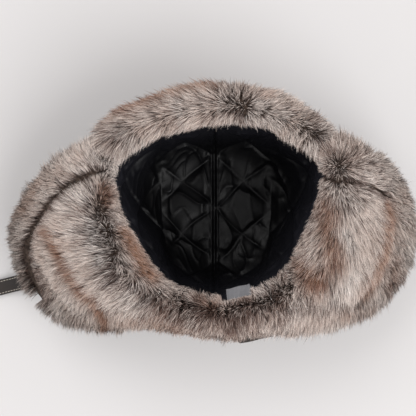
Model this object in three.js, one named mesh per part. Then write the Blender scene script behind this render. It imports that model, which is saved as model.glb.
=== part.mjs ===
// Aviator hat, fur-trimmed, lying upside down on its crown with the head opening up.
// Millimetres, +Z up. The origin is the middle of the crown's flat rest face.
// +Y is the hat's front, +X is the side of the right-hand ear flap.
// A turn is an angle in degrees about Z, counted from +X towards +Y.
import * as THREE from 'three';
import { mergeVertices } from 'three/addons/utils/BufferGeometryUtils.js';

// Crown: its mean radius at the rim, its height, the flat it rests on and how square its shoulder is
const RIM_RADIUS = 98;
const RIM_HEIGHT = 120;
const REST_RADIUS = 42;
const SHOULDER_POWER = 2.3;
const CROWN_WALL = 2;

// Lining: thickness at the seams, puff of the quilting, spacing of its lines and place of its side seams
const LINING_WALL = 4;
const QUILT_PUFF = 2.2;
const QUILT_SPACING = 42;
const SIDE_SEAM_OFFSET = 56;
const SEAM_WIDTH = 9;

// Flaps of leather: thickness, lap over the crown's rim and how high they roll over it
const FLAP_WALL = 2;
const RIM_LAP = 6;
const FLAP_ROLL = 6;
const EAR_FLAP_REACH = 104;
const EAR_FLAP_DROP = 78;
const FRONT_FLAP_DEPTH = 74;

// Fur: length from the leather to the tips, height of its locks and how far their tips lean
const FUR_LENGTH = 23;
const LOCK_RISE = 3.2;
const LOCK_LEAN = 4.5;
const ROLL_WIDTH = 27;
const GROOVE_DEPTH = 9;
const GROOVE_WIDTH = 9;

// Places round the rim where the flaps start and end
const FRONT_FLAP_FROM = 30;
const FRONT_FLAP_TO = 150;
const EAR_FLAPS_FROM = 151.5;
const NECK_FROM = 240;
const NECK_TO = 300;
const EAR_FLAPS_TO = 387;

// Fur at the two front ends of the ear flaps: its share of the full length and the turn over which it grows
const END_FUR = 0.72;
const END_TURN = 8;

// Chin strap: its section, where it leaves the left ear flap, the way it then heads and its free reach
const STRAP_WIDTH = 16;
const STRAP_THICKNESS = 2.4;
const STRAP_TURN = 201.5;
const STRAP_SEWN_FROM = 0.7;
const STRAP_HEADING = 194.5;
const STRAP_REACH = 59;
const STRAP_FLOOR_GAP = 1.2;

// Label: its sheet, its place round the rim, its distance below the rim and its tilt off the lining
const LABEL_WIDTH = 26;
const LABEL_HEIGHT = 17;
const LABEL_THICKNESS = 0.8;
const LABEL_TURN = 284;
const LABEL_BELOW_RIM = 2.5;
const LABEL_TILT = 34;

// Clearances: between pieces that touch, and between flat pieces that lie on curved ones
const CLEARANCE = 0.3;
const CURVE_CLEARANCE = 0.7;

// Outline of the rim, seen from above: radius as a share of RIM_RADIUS
const RIM_ROWS = [
  { turn: 0, radius: 1.0 },
  { turn: 15, radius: 1.11 },
  { turn: 28, radius: 1.145 },
  { turn: 45, radius: 1.05 },
  { turn: 60, radius: 1.02 },
  { turn: 75, radius: 0.96 },
  { turn: 105, radius: 0.94 },
  { turn: 120, radius: 0.99 },
  { turn: 135, radius: 1.07 },
  { turn: 150, radius: 1.15 },
  { turn: 162, radius: 1.14 },
  { turn: 180, radius: 1.03 },
  { turn: 195, radius: 0.945 },
  { turn: 210, radius: 0.92 },
  { turn: 240, radius: 0.96 },
  { turn: 285, radius: 0.97 },
  { turn: 315, radius: 0.965 },
  { turn: 340, radius: 0.94 },
];

// Ear and neck flaps round the rim: leather reach as a share of EAR_FLAP_REACH,
// and how much of the groove between the main panel and the rolled edge shows
const EAR_ROWS = [
  { turn: 151.5, reach: 0.03, groove: 0 },
  { turn: 157, reach: 0.14, groove: 0 },
  { turn: 163, reach: 0.29, groove: 0.3 },
  { turn: 170, reach: 0.5, groove: 0.9 },
  { turn: 178, reach: 0.73, groove: 1 },
  { turn: 186, reach: 0.92, groove: 1 },
  { turn: 194, reach: 1.0, groove: 1 },
  { turn: 204, reach: 0.97, groove: 0.9 },
  { turn: 212, reach: 0.89, groove: 0.6 },
  { turn: 220, reach: 0.675, groove: 0.2 },
  { turn: 228, reach: 0.48, groove: 0 },
  { turn: 237, reach: 0.25, groove: 0 },
  { turn: 248, reach: 0.14, groove: 0 },
  { turn: 264, reach: 0.105, groove: 0 },
  { turn: 280, reach: 0.13, groove: 0 },
  { turn: 292, reach: 0.15, groove: 0 },
  { turn: 302, reach: 0.26, groove: 0 },
  { turn: 312, reach: 0.44, groove: 0.2 },
  { turn: 322, reach: 0.61, groove: 0.5 },
  { turn: 330, reach: 0.765, groove: 0.7 },
  { turn: 340, reach: 0.875, groove: 0.8 },
  { turn: 352, reach: 0.85, groove: 0.8 },
  { turn: 362, reach: 0.74, groove: 0.9 },
  { turn: 370, reach: 0.57, groove: 1 },
  { turn: 376, reach: 0.42, groove: 0.8 },
  { turn: 381, reach: 0.26, groove: 0.3 },
  { turn: 385, reach: 0.12, groove: 0 },
  { turn: 387, reach: 0.06, groove: 0 },
];

// Front flap: fur length as a share of FUR_LENGTH and depth as a share of FRONT_FLAP_DEPTH
const FRONT_ROWS = [
  { turn: 30, fur: 0.72, depth: 0.8 },
  { turn: 38, fur: 0.98, depth: 0.95 },
  { turn: 52, fur: 1.02, depth: 1 },
  { turn: 68, fur: 1.06, depth: 1 },
  { turn: 90, fur: 1.16, depth: 1 },
  { turn: 108, fur: 1.18, depth: 1 },
  { turn: 122, fur: 1.12, depth: 1 },
  { turn: 136, fur: 1.24, depth: 0.95 },
  { turn: 144, fur: 1.14, depth: 0.88 },
  { turn: 150, fur: 0.8, depth: 0.76 },
];

// Fur on every flap, from its inner edge (0) to its outer edge (1):
// its length as a share, and how far it leans from upright, inwards above 0 and outwards below
const FUR_ROWS = [
  { along: 0, length: 0.58, lean: 52 },
  { along: 0.12, length: 0.86, lean: 24 },
  { along: 0.3, length: 0.97, lean: 0 },
  { along: 0.6, length: 1, lean: -22 },
  { along: 0.85, length: 0.93, lean: -46 },
  { along: 1, length: 0.74, lean: -72 },
];

// Free stretch of the chin strap, from the ear flap's edge to its end on the floor:
// how far out it is as a share of STRAP_REACH, and how far down as a share of the edge's height
const STRAP_ROWS = [
  { out: 0.15, down: 0.42 },
  { out: 0.33, down: 0.75 },
  { out: 0.54, down: 0.93 },
  { out: 0.76, down: 0.99 },
  { out: 1, down: 1 },
];

const radians = THREE.MathUtils.degToRad;
const { clamp, lerp } = THREE.MathUtils;

// Smooth value of one column of a table at a place on its key column, with cubic steps between rows.
// A period makes the table go round and meet itself.
function smoothColumn(rows, key, column, place, period = 0) {
  const first = rows[0][key];
  const at = period ? first + ((((place - first) % period) + period) % period) : place;
  const row = (index) => {
    const count = rows.length;
    if (!period) {
      const kept = rows[clamp(index, 0, count - 1)];
      return [kept[key], kept[column]];
    }
    const wraps = Math.floor(index / count);
    const kept = rows[index - wraps * count];
    return [kept[key] + wraps * period, kept[column]];
  };
  let index = 0;
  const last = period ? rows.length - 1 : rows.length - 2;
  while (index < last && at > row(index + 1)[0]) {
    index += 1;
  }
  const [x0, y0] = row(index - 1);
  const [x1, y1] = row(index);
  const [x2, y2] = row(index + 1);
  const [x3, y3] = row(index + 2);
  const span = x2 - x1;
  const share = clamp((at - x1) / span, 0, 1);
  const slope1 = ((y2 - y0) / Math.max(x2 - x0, span)) * span;
  const slope2 = ((y3 - y1) / Math.max(x3 - x1, span)) * span;
  const s2 = share * share;
  const s3 = s2 * share;
  return (
    (2 * s3 - 3 * s2 + 1) * y1 + (s3 - 2 * s2 + share) * slope1 + (3 * s2 - 2 * s3) * y2 + (s3 - s2) * slope2
  );
}

// Outer radius of the crown at its rim
function rimRadius(turn) {
  return RIM_RADIUS * smoothColumn(RIM_ROWS, 'turn', 'radius', turn, 360);
}

// Point from a radius, a height and a turn
function polarPoint(radius, height, turn) {
  return new THREE.Vector3(radius * Math.cos(radians(turn)), radius * Math.sin(radians(turn)), height);
}

// Half section of the crown at a turn, from the middle of its flat (0) over the shoulder to the rim (1),
// as radius and height, moved inwards by an inset
const FLAT_SHARE = 0.2;
function crownSection(turn, along, inset) {
  const outer = (place) => {
    if (place <= FLAT_SHARE) {
      return [(REST_RADIUS * place) / FLAT_SHARE, 0];
    }
    const angle = (((place - FLAT_SHARE) / (1 - FLAT_SHARE)) * Math.PI) / 2;
    const out = Math.sin(angle) ** (2 / SHOULDER_POWER);
    const up = 1 - Math.max(Math.cos(angle), 0) ** (2 / SHOULDER_POWER);
    return [lerp(REST_RADIUS, rimRadius(turn), out), RIM_HEIGHT * up];
  };
  const [radius, height] = outer(along);
  if (along <= FLAT_SHARE) {
    return [radius, height + inset];
  }
  if (along >= 1) {
    return [radius - inset, height];
  }
  const step = 0.004;
  const [r0, z0] = outer(along - step);
  const [r1, z1] = outer(Math.min(along + step, 1));
  const length = Math.hypot(r1 - r0, z1 - z0);
  return [radius - (inset * (z1 - z0)) / length, height + (inset * (r1 - r0)) / length];
}

// Closed mesh over a grid of rows that run round the Z axis, from a pole on the outside
// over the rim to a pole on the inside
function bowlGeometry(rows, poles) {
  const columns = rows[0].length;
  const positions = [];
  rows.forEach((row) => row.forEach((point) => positions.push(point.x, point.y, point.z)));
  poles.forEach((pole) => positions.push(pole.x, pole.y, pole.z));
  const outerPole = rows.length * columns;
  const innerPole = outerPole + 1;
  const faces = [];
  for (let column = 0; column < columns; column += 1) {
    const next = (column + 1) % columns;
    faces.push(outerPole, next, column);
    for (let row = 0; row + 1 < rows.length; row += 1) {
      const here = row * columns;
      const there = here + columns;
      faces.push(here + column, here + next, there + next, here + column, there + next, there + column);
    }
    const lastRow = (rows.length - 1) * columns;
    faces.push(lastRow + column, lastRow + next, innerPole);
  }
  const geometry = new THREE.BufferGeometry();
  geometry.setAttribute('position', new THREE.Float32BufferAttribute(positions, 3));
  geometry.setIndex(faces);
  return geometry;
}

// Closed mesh of sections carried along a path: each section is a closed loop of the same number of points,
// and fans close its two ends
function loftGeometry(sections) {
  const count = sections[0].length;
  const positions = [];
  sections.forEach((section) => section.forEach((point) => positions.push(point.x, point.y, point.z)));
  const faces = [];
  for (let index = 0; index + 1 < sections.length; index += 1) {
    for (let side = 0; side < count; side += 1) {
      const here = index * count + side;
      const next = index * count + ((side + 1) % count);
      faces.push(here, here + count, next + count, here, next + count, next);
    }
  }
  const lastStart = (sections.length - 1) * count;
  endCap(count).forEach(([a, b, c]) => {
    faces.push(a, b, c);
    faces.push(lastStart + a, lastStart + c, lastStart + b);
  });
  const geometry = new THREE.BufferGeometry();
  geometry.setAttribute('position', new THREE.Float32BufferAttribute(positions, 3));
  geometry.setIndex(faces);
  return facingOut(mergeVertices(geometry));
}

// Faces of a section's end: a strip between the two halves of its loop
function endCap(count) {
  const faces = [];
  let low = 0;
  let high = count - 1;
  while (high - low > 1) {
    faces.push([low, low + 1, high]);
    low += 1;
    if (high - low > 1) {
      faces.push([low, high - 1, high]);
      high -= 1;
    }
  }
  return faces;
}

// Turns a closed mesh's faces round where it is inside out
function facingOut(geometry) {
  const position = geometry.getAttribute('position');
  const index = geometry.getIndex();
  const corner = (place) => new THREE.Vector3().fromBufferAttribute(position, index.getX(place));
  let volume = 0;
  for (let place = 0; place < index.count; place += 3) {
    volume += corner(place).dot(corner(place + 1).cross(corner(place + 2)));
  }
  if (volume < 0) {
    for (let place = 0; place < index.count; place += 3) {
      const second = index.getX(place + 1);
      index.setX(place + 1, index.getX(place + 2));
      index.setX(place + 2, second);
    }
  }
  return geometry;
}

// Crown of leather: outside, rim and inside in one wall
const BOWL_COLUMNS = 48;
const BOWL_PLACES = [0.2, 0.28, 0.37, 0.48, 0.6, 0.73, 0.87, 1];
const LINING_PLACES = [0.1, 0.17, 0.24, 0.31, 0.38, 0.45, 0.52, 0.59, 0.66, 0.73, 0.8, 0.87, 0.94, 1];

function bowlRow(along, insetAt) {
  return Array.from({ length: BOWL_COLUMNS }, (_, column) => {
    const turn = (column * 360) / BOWL_COLUMNS;
    const [radius, height] = crownSection(turn, along, insetAt(turn, along));
    return polarPoint(radius, height, turn);
  });
}

function makeCrownShell() {
  const outside = BOWL_PLACES.map((along) => bowlRow(along, () => 0));
  const inside = BOWL_PLACES.map((along) => bowlRow(along, () => CROWN_WALL)).reverse();
  const poles = [new THREE.Vector3(0, 0, 0), new THREE.Vector3(0, 0, CROWN_WALL)];
  return bowlGeometry([...outside, ...inside], poles);
}

// Quilting of the lining at a place: seams at the middle and between the middle and side panels stay flat,
// and crossing lines make puffed diamonds between them
function quiltRise(turn, along) {
  const [radius, height] = crownSection(turn, along, CROWN_WALL);
  const { x, y } = polarPoint(radius, height, turn);
  const across = Math.abs(x) > SIDE_SEAM_OFFSET ? y : x;
  const up = Math.hypot(height, radius);
  const lineOne = Math.abs(Math.sin((Math.PI * (across + up)) / (QUILT_SPACING * Math.SQRT2)));
  const lineTwo = Math.abs(Math.sin((Math.PI * (across - up)) / (QUILT_SPACING * Math.SQRT2)));
  const seamGap = Math.min(Math.abs(x), Math.abs(Math.abs(x) - SIDE_SEAM_OFFSET));
  const seam = clamp(seamGap / SEAM_WIDTH, 0, 1);
  const hem = clamp((1 - along) / 0.06, 0, 1);
  return QUILT_PUFF * Math.sqrt(lineOne * lineTwo) * seam * hem;
}

function makeCrownLining() {
  const seat = CROWN_WALL + CLEARANCE;
  const outside = BOWL_PLACES.map((along) => bowlRow(along, () => seat));
  const puffed = (turn, along) => seat + LINING_WALL + quiltRise(turn, along);
  const inside = LINING_PLACES.map((along) => bowlRow(along, puffed)).reverse();
  const floor = seat + LINING_WALL;
  const poles = [new THREE.Vector3(0, 0, seat), new THREE.Vector3(0, 0, floor)];
  return bowlGeometry([...outside, ...inside], poles);
}

// Middle line of an ear or neck flap's leather at a turn, as radius and height: it laps the crown's rim,
// rolls over it and droops towards its edge
const DROOP_POWER = 1.7;
const DROP_GROWTH = 1.15;
const ROLL_SHARE = 0.83;
function earFlapLine(turn, along) {
  const share = smoothColumn(EAR_ROWS, 'turn', 'reach', turn);
  const reach = EAR_FLAP_REACH * share;
  const drop = EAR_FLAP_DROP * Math.max(share, 0) ** DROP_GROWTH;
  const seat = RIM_HEIGHT + CLEARANCE + FLAP_WALL / 2;
  const radius = rimRadius(turn) - RIM_LAP + (RIM_LAP + reach) * along;
  const roll = FLAP_ROLL * Math.sin(Math.PI * Math.min(along / ROLL_SHARE, 1));
  return [radius, seat + roll - drop * along ** DROOP_POWER];
}

// Middle line of the front flap's leather at a turn: over the rim, then down the outside of the crown
const FOLD_SHARE = 0.3;
const FOLD_RISE = 3;
function frontFlapLine(turn, along) {
  const depth = FRONT_FLAP_DEPTH * smoothColumn(FRONT_ROWS, 'turn', 'depth', turn);
  const stand = CURVE_CLEARANCE + FLAP_WALL / 2;
  const innerRadius = rimRadius(turn) - RIM_LAP;
  const outerRadius = rimRadius(turn) + stand;
  const seat = RIM_HEIGHT + CLEARANCE + FLAP_WALL / 2;
  if (along < FOLD_SHARE) {
    const angle = (along / FOLD_SHARE) * (Math.PI / 2);
    const radius = lerp(innerRadius, outerRadius, Math.sin(angle));
    return [radius, seat + FOLD_RISE * Math.sin(2 * angle)];
  }
  const fall = ((along - FOLD_SHARE) / (1 - FOLD_SHARE)) * depth;
  const up = 1 - (seat - fall) / RIM_HEIGHT;
  const across = Math.max(1 - Math.max(up, 0) ** SHOULDER_POWER, 0) ** (1 / SHOULDER_POWER);
  const crownRadius = lerp(REST_RADIUS, rimRadius(turn), across);
  return [crownRadius + stand, seat - fall];
}

// Direction square to a flap's middle line, away from the crown
function flapUpright(line, turn, along) {
  const step = 0.01;
  const [r0, z0] = line(turn, Math.max(along - step, 0));
  const [r1, z1] = line(turn, Math.min(along + step, 1));
  const length = Math.hypot(r1 - r0, z1 - z0);
  return [-(z1 - z0) / length, (r1 - r0) / length];
}

// Point beside a flap's middle line: a rise square to it
function besideFlap(line, turn, along, rise) {
  const [radius, height] = line(turn, along);
  const [outwards, upwards] = flapUpright(line, turn, along);
  return polarPoint(radius + outwards * rise, height + upwards * rise, turn);
}

// Leather of a flap between two turns, a wall of one thickness on its middle line
function makeFlapLeather(line, turns, places) {
  const sections = turns.map((turn) => {
    const top = places.map((along) => besideFlap(line, turn, along, FLAP_WALL / 2));
    const bottom = places.map((along) => besideFlap(line, turn, along, -FLAP_WALL / 2)).reverse();
    return [...top, ...bottom];
  });
  return loftGeometry(sections);
}

// Tip of the fur that grows from a place on a flap: its length follows the flap's own share,
// the fur table and the groove, and its direction leans from upright as the table says
function furTip(line, turn, along, lengthShare, grooveShare, reachLength) {
  const [radius, height] = line(turn, along);
  const [outwards, upwards] = flapUpright(line, turn, along);
  const lean = radians(smoothColumn(FUR_ROWS, 'along', 'lean', along));
  const fromEdge = (1 - along) * reachLength;
  const groove = Math.exp(-(((fromEdge - ROLL_WIDTH) / GROOVE_WIDTH) ** 2)) * grooveShare * GROOVE_DEPTH;
  const length = FUR_LENGTH * lengthShare * smoothColumn(FUR_ROWS, 'along', 'length', along) - groove;
  const direction = [
    outwards * Math.cos(lean) - upwards * Math.sin(lean),
    upwards * Math.cos(lean) + outwards * Math.sin(lean),
  ];
  return { radius, height, direction, length };
}

// Fur of a flap: its underside lies on the leather, and its outside is a field of staggered locks.
// Every second point is the tip of a lock, longer and leaning outwards along the flap
function makeFlapFur(line, turns, places, lockPlaces, shareAt, grooveAt, reachAt) {
  const sections = turns.map((turn, column) => {
    const under = places.map((along) => besideFlap(line, turn, along, FLAP_WALL / 2 + CLEARANCE));
    const atEnd = column === 0 || column === turns.length - 1;
    const over = lockPlaces.map((along, row) => {
      const tip = furTip(line, turn, along, shareAt(turn), grooveAt(turn), reachAt(turn));
      const isLock = (row + column) % 2 === 0;
      const rise = atEnd ? 0 : LOCK_RISE * (isLock ? 1 : -1);
      const lean = atEnd || !isLock ? 0 : lerp(-LOCK_LEAN / 2, LOCK_LEAN, along);
      const [outwards, upwards] = tip.direction;
      const length = tip.length + rise;
      const radius = tip.radius + outwards * length + upwards * lean;
      const height = tip.height + upwards * length - outwards * lean;
      return polarPoint(radius, height, turn);
    });
    return [...under, ...over.reverse()];
  });
  return loftGeometry(sections);
}

// Even steps from one value to another, both ends included
function steps(from, to, count) {
  return Array.from({ length: count + 1 }, (_, index) => lerp(from, to, index / count));
}

// Length of an ear flap's middle line between two places
function earFlapLength(turn, from, to) {
  const points = steps(from, to, 12).map((along) => besideFlap(earFlapLine, turn, along, 0));
  return points.slice(1).reduce((sum, point, index) => sum + point.distanceTo(points[index]), 0);
}

// Middle line of the chin strap: sewn under the ear flap's leather, then free down to the floor
function strapPath() {
  const under = -(FLAP_WALL / 2 + CURVE_CLEARANCE + STRAP_THICKNESS / 2);
  const sewn = steps(STRAP_SEWN_FROM, 1, 3).map((along) => besideFlap(earFlapLine, STRAP_TURN, along, under));
  const edge = sewn[sewn.length - 1];
  const floor = STRAP_FLOOR_GAP + STRAP_THICKNESS / 2;
  const free = STRAP_ROWS.map(({ out, down }) => {
    const reach = polarPoint(STRAP_REACH * out, 0, STRAP_HEADING);
    return new THREE.Vector3(edge.x + reach.x, edge.y + reach.y, lerp(edge.z, floor, down));
  });
  return new THREE.CatmullRomCurve3([...sewn, ...free], false, 'centripetal');
}

// Chin strap: a flat section with bevelled edges carried along its path, with a rounded free end.
// It lies flat against the ear flap where it is sewn, and turns level towards its free end
function makeChinStrap() {
  const path = strapPath();
  const length = path.getLength();
  const sewnLength = earFlapLength(STRAP_TURN, STRAP_SEWN_FROM, 1);
  const tipStart = length - STRAP_WIDTH / 2;
  const rounding = [0.25, 0.5, 0.7, 0.87, 0.97].map((share) => tipStart + (share * STRAP_WIDTH) / 2);
  const sections = [...steps(0, tipStart, 12), ...rounding].map((distance) => {
    const middle = path.getPointAt(distance / length);
    const along = path.getTangentAt(distance / length);
    const level = new THREE.Vector3(-along.y, along.x, 0).normalize();
    const place = lerp(STRAP_SEWN_FROM, 1, Math.min(distance / sewnLength, 1));
    const across = besideFlap(earFlapLine, STRAP_TURN + 1, place, 0)
      .sub(besideFlap(earFlapLine, STRAP_TURN - 1, place, 0))
      .normalize()
      .multiplyScalar(-1);
    const leftFlap = clamp((distance - sewnLength) / (length - sewnLength), 0, 1);
    const side = across.lerp(level, Math.min(leftFlap * 2, 1)).addScaledVector(along, -across.dot(along)).normalize();
    const up = new THREE.Vector3().crossVectors(along, side);
    const pastTip = clamp((distance - tipStart) / (STRAP_WIDTH / 2), 0, 1);
    const half = (STRAP_WIDTH / 2) * Math.sqrt(1 - pastTip ** 2);
    const thick = STRAP_THICKNESS / 2;
    const edge = Math.min(thick, half) / 2;
    const loop = [
      [half, -thick + edge], [half, thick - edge], [half - edge, thick], [edge - half, thick],
      [-half, thick - edge], [-half, edge - thick], [edge - half, -thick], [half - edge, -thick],
    ];
    return loop.map(([across, over]) => middle.clone().addScaledVector(side, across).addScaledVector(up, over));
  });
  return loftGeometry(sections);
}

// Label: a thin sheet sewn in at the lining's top edge, standing off the lining below
function makeLabel() {
  const columns = 6;
  const topInset = CROWN_WALL + CLEARANCE + LINING_WALL + CURVE_CLEARANCE;
  const halfTurn = THREE.MathUtils.radToDeg(LABEL_WIDTH / 2 / (rimRadius(LABEL_TURN) - topInset));
  const tilt = radians(LABEL_TILT);
  const sections = steps(LABEL_TURN - halfTurn, LABEL_TURN + halfTurn, columns).map((turn) => {
    const topRadius = rimRadius(turn) - topInset;
    const topHeight = RIM_HEIGHT - LABEL_BELOW_RIM;
    const corner = (down, inwards) => {
      const radius = topRadius - down * Math.sin(tilt) - inwards * Math.cos(tilt);
      const height = topHeight - down * Math.cos(tilt) + inwards * Math.sin(tilt);
      return polarPoint(radius, height, turn);
    };
    return [
      corner(0, 0), corner(LABEL_HEIGHT / 2, 0), corner(LABEL_HEIGHT, 0),
      corner(LABEL_HEIGHT, LABEL_THICKNESS), corner(LABEL_HEIGHT / 2, LABEL_THICKNESS), corner(0, LABEL_THICKNESS),
    ];
  });
  return loftGeometry(sections);
}

// Colours and finishes
const LEATHER = { color: 0x2a2320, roughness: 0.55 };
const SATIN = { color: 0x131316, roughness: 0.38 };
const FUR = { color: 0x8f7c72, roughness: 0.9 };
const WOVEN = { color: 0x8e8e90, roughness: 0.6 };

const hat = new THREE.Group();
function addPiece(name, geometry, finish) {
  const material = new THREE.MeshStandardMaterial({ ...finish, metalness: 0 });
  const mesh = new THREE.Mesh(geometry, material);
  mesh.name = name;
  hat.add(mesh);
}

// Crown, lining and label
addPiece('crown_shell', facingOut(makeCrownShell()), LEATHER);
addPiece('crown_lining', facingOut(makeCrownLining()), SATIN);
addPiece('lining_label', makeLabel(), WOVEN);

// Front flap, folded against the crown
const FRONT_PLACES = [0, 0.12, 0.21, 0.3, 0.53, 0.76, 1];
const frontTurns = steps(FRONT_FLAP_FROM, FRONT_FLAP_TO, 34);
const frontFur = (turn) => smoothColumn(FRONT_ROWS, 'turn', 'fur', turn);
addPiece('front_flap', makeFlapLeather(frontFlapLine, frontTurns, FRONT_PLACES), LEATHER);
addPiece(
  'front_flap_fur',
  makeFlapFur(frontFlapLine, frontTurns, FRONT_PLACES, steps(0, 1, 13), frontFur, () => 0, () => 0),
  FUR,
);

// Ear flaps and neck band: they meet at two turns, with a small gap between them
const EAR_PLACES = [0, 0.1, 0.24, 0.42, 0.61, 0.8, 1];
const NECK_PLACES = [0, 0.2, 0.4, 0.7, 1];
const flapReach = (turn) => RIM_LAP + EAR_FLAP_REACH * smoothColumn(EAR_ROWS, 'turn', 'reach', turn);
const flapGroove = (turn) => smoothColumn(EAR_ROWS, 'turn', 'groove', turn);
const endFullness = (turn) => {
  const fromEnd = Math.min(turn - EAR_FLAPS_FROM, EAR_FLAPS_TO - turn);
  return lerp(END_FUR, 1, clamp(fromEnd / END_TURN, 0, 1));
};
const joinTurn = THREE.MathUtils.radToDeg(CLEARANCE / (RIM_RADIUS / 2));
const bands = [
  { leather: 'ear_flap_left', fur: 'ear_flap_fur_left', from: EAR_FLAPS_FROM, to: NECK_FROM, wide: true },
  { leather: 'neck_flap', fur: 'neck_flap_fur', from: NECK_FROM + joinTurn, to: NECK_TO, wide: false },
  { leather: 'ear_flap_right', fur: 'ear_flap_fur_right', from: NECK_TO + joinTurn, to: EAR_FLAPS_TO, wide: true },
];
bands.forEach(({ leather, fur, from, to, wide }) => {
  const turns = steps(from, to, wide ? 28 : 16);
  const places = wide ? EAR_PLACES : NECK_PLACES;
  const lockPlaces = steps(0, 1, wide ? 14 : 8);
  addPiece(leather, makeFlapLeather(earFlapLine, turns, places), LEATHER);
  const furGeometry = makeFlapFur(
    earFlapLine, turns, places, lockPlaces, endFullness, flapGroove, flapReach,
  );
  addPiece(fur, furGeometry, FUR);
});

// Chin strap
addPiece('chin_strap', makeChinStrap(), LEATHER);

export default hat;
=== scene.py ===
"""Looks of a fur-trimmed aviator hat that lies on its crown with the head opening up.

Lengths are in millimetres in the tables and shape functions, and become metres when a mesh is made.
A turn is an angle in degrees about Z, counted from +X towards +Y. Along is a place from 0 to 1:
on the crown from the middle of its flat to the rim, on a flap from its inner to its outer edge.
"""

import bpy
import numpy as np
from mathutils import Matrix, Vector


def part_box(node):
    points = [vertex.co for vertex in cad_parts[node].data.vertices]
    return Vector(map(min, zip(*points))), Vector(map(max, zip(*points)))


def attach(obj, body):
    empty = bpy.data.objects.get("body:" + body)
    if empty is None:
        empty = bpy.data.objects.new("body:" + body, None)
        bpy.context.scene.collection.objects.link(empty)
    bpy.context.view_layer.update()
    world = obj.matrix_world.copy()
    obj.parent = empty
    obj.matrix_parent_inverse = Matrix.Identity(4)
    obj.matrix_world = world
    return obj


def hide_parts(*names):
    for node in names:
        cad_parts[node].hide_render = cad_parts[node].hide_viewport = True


bl_info = {
    "name": "Aviator Hat",
    "version": (1, 0, 0),
    "blender": (4, 5, 0),
    "location": "View3D > Sidebar > Hat",
    "description": "Builds the looks of a fur-trimmed aviator hat around its fixed frame",
    "category": "Object",
}

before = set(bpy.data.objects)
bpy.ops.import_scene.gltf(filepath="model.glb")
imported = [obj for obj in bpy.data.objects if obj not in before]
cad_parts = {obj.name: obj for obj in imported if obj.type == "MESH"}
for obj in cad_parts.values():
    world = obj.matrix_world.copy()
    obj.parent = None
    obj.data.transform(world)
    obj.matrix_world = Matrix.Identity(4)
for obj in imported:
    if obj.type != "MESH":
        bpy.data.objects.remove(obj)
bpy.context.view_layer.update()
MM = 0.001

# Sizes of the frame: lengths in millimetres, turns and tilts in degrees, and shares
RIM_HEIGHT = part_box("crown_shell")[1].z / MM
RIM_RADIUS = 98.0
REST_RADIUS = 42.0
SHOULDER_POWER = 2.3
FLAT_SHARE = 0.2
CROWN_WALL = 2.0
LINING_WALL = 4.0
FLAP_WALL = 2.0
RIM_LAP = 6.0
FLAP_ROLL = 6.0
ROLL_SHARE = 0.83
EAR_FLAP_REACH = 104.0
EAR_FLAP_DROP = 78.0
DROOP_POWER = 1.7
DROP_GROWTH = 1.15
FRONT_FLAP_DEPTH = 74.0
FOLD_SHARE = 0.3
FOLD_RISE = 3.0
CLEARANCE = 0.3
CURVE_CLEARANCE = 0.7
ROLL_WIDTH = 27.0
GROOVE_DEPTH = 9.0
GROOVE_WIDTH = 9.0
END_FUR = 0.72
END_TURN = 8.0
FRONT_FLAP_FROM, FRONT_FLAP_TO = 30.0, 150.0
EAR_FLAPS_FROM, NECK_FROM, NECK_TO, EAR_FLAPS_TO = 151.5, 240.0, 300.0, 387.0
STRAP_TURN = 201.5
STRAP_SEWN_FROM = 0.7
STRAP_HEADING = 194.5
STRAP_REACH = 59.0
STRAP_FLOOR_GAP = 1.2
STRAP_WIDTH = 16.0
STRAP_THICKNESS = 2.4
LABEL_TURN = 284.0
LABEL_TILT = 44.0
LABEL_WIDTH, LABEL_HEIGHT, LABEL_THICKNESS = 26.0, 17.0, 0.6
LABEL_BELOW_RIM = 2.5

# Sizes of the looks alone, in the same units
FLAP_GAP, PELT_INSET = 0.35, 0.5
FRONT_FOLD_LENGTH = 14.0
FRONT_PARTING_TURN = 88.0
LEFT_COAT_TURN, RIGHT_COAT_TURN = 197.0, 343.0
PELT_SHARE, PELT_LEAST = 0.5, 1.2
PELT_EDGE = 12.0
MIDDLE_SEAM_X, SIDE_SEAMS_X = -3.0, -1.0
SIDE_SEAM, SIDE_SEAM_BACK, SIDE_SEAM_REACH = 56.0, 15.0, 63.0
QUILT_PITCH = 60.0
QUILT_DRIFT = 5.0
QUILT_PUFF = 3.6
CREASE_SHARE = 0.3
LOOSE_FOLD, TIGHT_FOLD, SAG = 1.9, 1.0, 2.4
RIDGE_RISE, RIDGE_OFF, RIDGE_WIDTH = 1.7, 3.0, 1.6
GROOVE_SINK, GROOVE_HALF = 1.4, 1.1
NECK_SHOW = 18.0
NECK_SHOW_FROM, NECK_SHOW_TO = 276.0, 298.0
STRAP_POINTS = 150
STRAP_STITCH_INSET = 2.1
STRAP_STITCH = {"pitch": 3.1, "length": 2.3, "width": 0.75}
NECK_STITCH = {"pitch": 3.2, "length": 2.4, "width": 0.7}
NECK_STITCH_FROM, NECK_STITCH_TO, NECK_STITCH_ALONG = 279.0, 294.0, 0.93

# Stage: floor and camera sensor in millimetres, softboxes in metres
FLOOR_WIDTH = 5000.0
SENSOR_WIDTH = 36.0
SOFTBOX_SIZE = 1.8
WORLD_STRENGTH = 1.14

# The photograph: size of a pixel at the rim and camera distance above the rim, in millimetres, then the
# pixel of the picture's middle, both ways, the origin's pixel across, and how far that lies beside it
PIXEL = 0.92
CAMERA_ABOVE_RIM = 1000.0
CENTRE_PX = 208.0
ORIGIN_PX = 218.26
VIEW_SHIFT = (ORIGIN_PX - CENTRE_PX) * PIXEL


def table_rows(names, rows):
    """Rows of a table, each with its values by name."""
    return [dict(zip(names, row)) for row in rows]


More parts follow.
